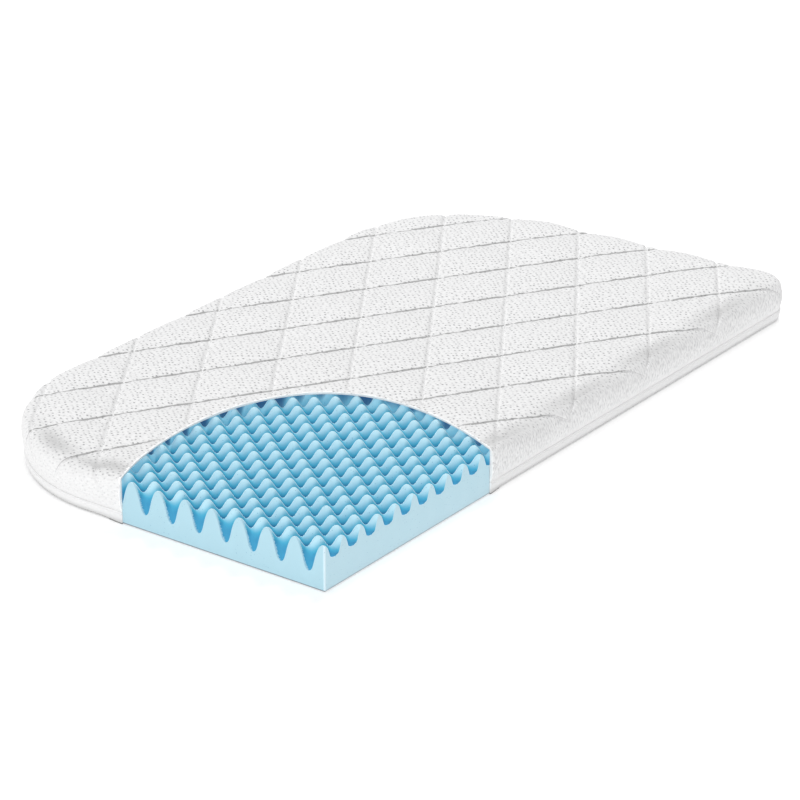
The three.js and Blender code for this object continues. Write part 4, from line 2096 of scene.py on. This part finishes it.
    def knit(self, finish: KnitFinish) -> Material:
        """A white knit.

        Args:
            finish: Its look.

        Returns:
            The material.
        """
        material = bpy.data.materials.new(finish.name)
        material.use_nodes = True
        tree = Tree(material.node_tree)
        cloth = tree.add("ShaderNodeUVMap", uv_map="Cloth").outputs[0]
        place = tree.add("ShaderNodeTexCoord").outputs["Object"]
        _, across, height = tree.split(place)
        upright, band = tree.stored("upright"), tree.ramp(height, *finish.band)
        ribs = tree.add("ShaderNodeGroup", {"Cloth": cloth}, node_tree=self.ribs).outputs[0]
        dimples = tree.add("ShaderNodeGroup", {"Cloth": cloth}, node_tree=self.dimples).outputs[0]
        width = tree.ramp(upright, 0.0, 1.0, *finish.line_width)
        marks = tree.add("ShaderNodeGroup", {"Cloth": cloth, "Width": width}, node_tree=self.lines).outputs
        spots = tree.times(dimples, tree.math("SUBTRACT", 1.0, tree.times(upright, 0.75)), band)
        more = tree.math("ADD", 1.0, tree.times(upright, tree.ramp(across, *finish.front, -0.5, 1.0)))
        pebbles = tree.times(tree.ramp(ribs, 0.60, 0.30, 0.0, 0.27), band, finish.dimple_shade, more)
        layers = {
            "pebbled shade": (pebbles, (0.40, 0.40, 0.41)),
            "dimples": (tree.times(spots, finish.dimple_shade), (0.24, 0.24, 0.25)),
        }
        # Painted crease shade and painted light along the quilting lines, weighed by the stored strength
        sewn = tree.stored("sewn")
        for name, share, tone in finish.lines:
            layers[name] = (tree.times(marks[name], sewn, share * finish.line_shade), grey(tone))
        colour = tree.painted(finish.colour, layers)
        soft = tree.ramp(tree.noise(place, 16.0, 2.0), 0.3, 0.7, 0.985, 1.0)
        colour = tree.blend(1.0, colour, tree.joined(soft, soft, soft), "MULTIPLY")
        colour = tree.painted(colour, {
            # Painted shade in the soft dips along the top edge
            "dips": (tree.times(tree.stored("dip"), 0.68), grey(0.45)),
            # Painted contact shadow: darker towards the floor
            "shade above the floor": (tree.ramp(height, 0.0075, 0.0008, 0.0, 0.5), grey(0.32)),
            "painted contact shadow on the floor": (tree.ramp(height, 0.0018, 0.0006, 0.0, 0.85), grey(0.12)),
            # Painted light on the lip along the cut, which lies in shade
            "lip along the cut": (tree.ramp(tree.stored("lip"), 0.05, 0.4), grey(0.93)),
        })
        strokes = tree.ramp(tree.ramp(height, *finish.side), 0.0, 1.0, 1.5, 9.0)
        raised = tree.math("SUBTRACT", tree.times(ribs, strokes, finish.rib_depth),
                           tree.times(spots, finish.dimple_depth))
        bump = tree.add("ShaderNodeBump", {"Strength": 0.6, "Distance": 0.0008, "Height": raised})
        surface = tree.add("ShaderNodeBsdfPrincipled", {
            "Base Color": colour, "Roughness": finish.roughness, "Sheen Weight": finish.sheen,
            "Sheen Roughness": 0.5, "Specular IOR Level": 0.2, "Normal": bump.outputs[0],
        })
        tree.add("ShaderNodeOutputMaterial", {"Surface": surface.outputs[0]})
        return material

    def foam(self, finish: FoamFinish) -> Material:
        """The blue foam: pale where it is cut, with painted light on the crests and painted shade towards the
        pits.

        Args:
            finish: Its look.

        Returns:
            The material.
        """
        material = bpy.data.materials.new(finish.name)
        material.use_nodes = True
        tree = Tree(material.node_tree)
        place = tree.add("ShaderNodeTexCoord").outputs["Object"]
        height = tree.split(place)[2]
        pores = tree.add("ShaderNodeGroup", {"Place": place}, node_tree=self.pores).outputs
        cut, near, corner, tone, lee, hidden, front = map(
            tree.stored, ("cut_face", "from_face", "from_corner", "tone", "lee", "hidden", "from_long"))
        # Painted light and shade: the stored tone, darker on slopes that face the lee
        rise = tree.math("SUBTRACT", tone, tree.times(lee, finish.lee))
        ragged = tree.math("ADD", near, tree.times(tree.math("SUBTRACT", pores["Grain"], 0.5), 0.0050))
        skin = tree.times(tree.ramp(ragged, 0.0026, 0.0008), tree.ramp(lee, -0.1, 0.25))
        # Painted shade in the pits that the open faces cut
        mouth = tree.times(tree.ramp(near, 0.014, 0.004, 0.0, 0.85), tree.ramp(height, 0.040, 0.030))
        # Facing weight for the painted highlight on the rims
        facing = tree.add("ShaderNodeLayerWeight", {"Blend": 0.5}).outputs["Facing"]
        # The pit, flank and crest colours over the tone are painted light and shade
        colour = tree.painted(finish.pit, {
            "flanks": (tree.ramp(rise, *finish.flanks), finish.flank),
            "crests": (tree.ramp(rise, *finish.crests), finish.crest),
            # Painted light on the foam just under the covers' edge, where it lies in shade
            "painted light just under the covers": (tree.ramp(hidden, 0.001, 0.004, 0.0, 0.5), (0.40, 0.80, 0.95)),
            "mouths of the cut pits": (mouth, finish.mouth),
            "cut faces": (tree.math("MAXIMUM", cut, skin), finish.pale),
            # Painted light on the long cut face, lighter than the short one
            "long face": (tree.times(cut, tree.ramp(front, 0.0004, 0.0001, 0.0, 0.15)), (0.82, 0.87, 0.89)),
            # Painted highlight on the near corner's upright edge
            "corner": (tree.ramp(corner, 0.0026, 0.0008, 0.0, 0.55), (0.80, 0.92, 0.98)),
            # Painted shade on the hidden rim under the covers
            "hidden rim": (tree.ramp(hidden, 0.0135, 0.0165, 0.0, 0.8), finish.pit),
            # Painted contact shadow at the foam's foot
            "foot": (tree.ramp(height, 0.0022, 0.0008), (0.16, 0.15, 0.17)),
            "pores": (tree.times(pores["Speck"], finish.pore), finish.speck),
            # Painted highlight on the rims, where the surface turns away from view
            "rims": (tree.times(tree.ramp(facing, 0.50, 0.80), finish.rim), finish.rim_highlight),
        })
        raised = tree.math("SUBTRACT", tree.times(pores["Grain"], 0.25), pores["Speck"])
        bump = tree.add("ShaderNodeBump", {"Strength": 0.35, "Distance": 0.0005, "Height": raised})
        surface = tree.add("ShaderNodeBsdfPrincipled", {
            "Base Color": colour, "Roughness": finish.roughness, "Specular IOR Level": 0.2,
            "Normal": bump.outputs[0],
        })
        tree.add("ShaderNodeOutputMaterial", {"Surface": surface.outputs[0]})
        return material

    @staticmethod
    def floor() -> Material:
        """The plain pale floor.

        Returns:
            The material.
        """
        material = bpy.data.materials.new("pale floor")
        material.use_nodes = True
        tree = Tree(material.node_tree)
        surface = tree.add("ShaderNodeBsdfPrincipled", {
            "Base Color": (0.98, 0.98, 0.98, 1.0), "Roughness": 1.0, "Specular IOR Level": 0.0,
            "Emission Strength": 0.055, "Emission Color": (1.0, 1.0, 1.0, 1.0),
        })
        tree.add("ShaderNodeOutputMaterial", {"Surface": surface.outputs[0]})
        return material


# The studio


@dataclass(frozen=True)
class Lamp:
    """One large soft lamp.

    Attributes:
        name: The lamp's name.
        place: Where it hangs.
        size: Side of its square face.
        power: Its power in watts.
        shadows: Whether it throws shadows.
    """

    name: str
    place: Triple
    size: float
    power: float
    shadows: bool


@dataclass(frozen=True)
class Studio:
    """Floor, lamps and camera.

    Attributes:
        lamps: The lamps.
        sky: Brightness of the light from all round.
        camera_place: Where the camera stands.
        camera_aim: Place on the floor that it looks at.
        lens: Its focal length in millimetres.
        floor_side: Side of the floor.
    """

    lamps: tuple[Lamp, ...] = (
        Lamp("lamp beyond the far left corner", (-2.2, 5.2, 8.6), 3.0, 246.0, False),
        Lamp("lamp beyond the right end", (3.0, 1.2, 4.5), 1.8, 86.0, True),
        Lamp("lamp before the left end", (-7.6, -2.6, 2.4), 3.0, 215.0, False),
        Lamp("lamp before the long side", (2.0, -6.8, 2.0), 3.0, 46.0, False),
    )
    sky: float = 0.61
    camera_place: Triple = (-2.8407, -2.0501, 1.4794)
    camera_aim: Triple = (-0.01993, -0.02617, 0.0)
    lens: float = 157.5
    floor_side: float = 40.0

    def set_up(self, dress: Dress) -> None:
        """Places the floor, the lamps and the camera.

        Args:
            dress: The materials.
        """
        half = self.floor_side / 2
        corners = np.array([(-half, -half, 0.0), (half, -half, 0.0), (half, half, 0.0), (-half, half, 0.0)])
        floor = new_piece("floor", corners, [(0, 1, 2, 3)])
        floor.data.materials.append(dress.floor())
        for lamp in self.lamps:
            light = bpy.data.lights.new(lamp.name, "AREA")
            light.energy, light.size, light.use_shadow = lamp.power, lamp.size, lamp.shadows
            linked(lamp.name, light).matrix_world = self._looking(lamp.place, (0.0, 0.0, 0.0))
        world = bpy.data.worlds.new("soft light all round")
        world.use_nodes = True
        background = world.node_tree.nodes["Background"].inputs
        background["Color"].default_value = (1.0, 1.0, 1.0, 1.0)
        background["Strength"].default_value = self.sky
        bpy.context.scene.world = world
        lens = bpy.data.cameras.new("camera")
        lens.lens, lens.sensor_width, lens.clip_end = self.lens, 36.0, 60.0
        camera = linked("camera", lens)
        camera.matrix_world = self._looking(self.camera_place, self.camera_aim)
        bpy.context.scene.camera = camera
        bpy.context.scene.view_settings.view_transform = "Standard"

    @staticmethod
    def _looking(place: Triple, aim: Triple) -> Matrix:
        """Matrix of something that stands at a place and looks at another."""
        turn = (Vector(aim) - Vector(place)).to_track_quat("-Z", "Y")
        return Matrix.LocRotScale(Vector(place), turn, None)


# The whole mattress


class Mattress:
    """All the pieces of the mattress."""

    def __init__(self) -> None:
        """Prepares the plan and the materials."""
        self.plan = Plan()
        self.outline, self.opening = Outline(self.plan), Opening(self.plan)
        self.dress = Dress()

    def build(self) -> None:
        """Builds and dresses every piece, moves it into place and attaches it to the body."""
        quilted = QuiltedCover(self.plan, self.outline, self.opening)
        cover = quilted.make()
        block = FoamCore(self.plan, self.opening).make()
        base = BaseCover(self.plan, self.outline, self.opening).make()
        for piece, material in ((cover, self.dress.knit(QUILTED)), (base, self.dress.knit(PLAIN)),
                                (block, self.dress.foam(FOAM))):
            piece.data.materials.append(material)
        self._lay_out(cover)
        stitches = Stitching().make(cover, quilted.quilting, self.dress.knit(THREAD))
        for piece, node, slot in (
            (cover, "quilted_cover", "quilted_knit"), (base, "base_cover", "plain_knit"),
            (block, "foam_core", "blue_foam"), (stitches, None, "quilted_knit"),
        ):
            self._finish(piece, node)

    @staticmethod
    def _lay_out(cover: Object) -> None:
        """Gives the cover a texture map that follows the flat cloth.

        Args:
            cover: The finished cover.
        """
        cloth = QuiltedCover.cloth_places(cover.data)
        corners = np.empty(len(cover.data.loops), np.int32)
        cover.data.loops.foreach_get("vertex_index", corners)
        layer = cover.data.uv_layers.new(name="Cloth")
        layer.data.foreach_set("uv", cloth[corners].astype(np.float32).ravel())

    def _finish(self, piece: Object, node: str | None) -> None:
        """Args:
            piece: The piece.
            node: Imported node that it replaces, if any.
        """
        piece.data.transform(Matrix.Translation(self.plan.shift))
        piece.data.update()
        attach(piece, BODY)
        if node:
            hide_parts(node)
        piece.data.calc_loop_triangles()
        log.info("%s: %d triangles", piece.name, len(piece.data.loop_triangles))


def main() -> None:
    """Builds the mattress and its studio."""
    logging.basicConfig(level=logging.INFO, format="%(message)s")
    mattress = Mattress()
    mattress.build()
    Studio().set_up(mattress.dress)


if __name__ == "__main__":
    main()
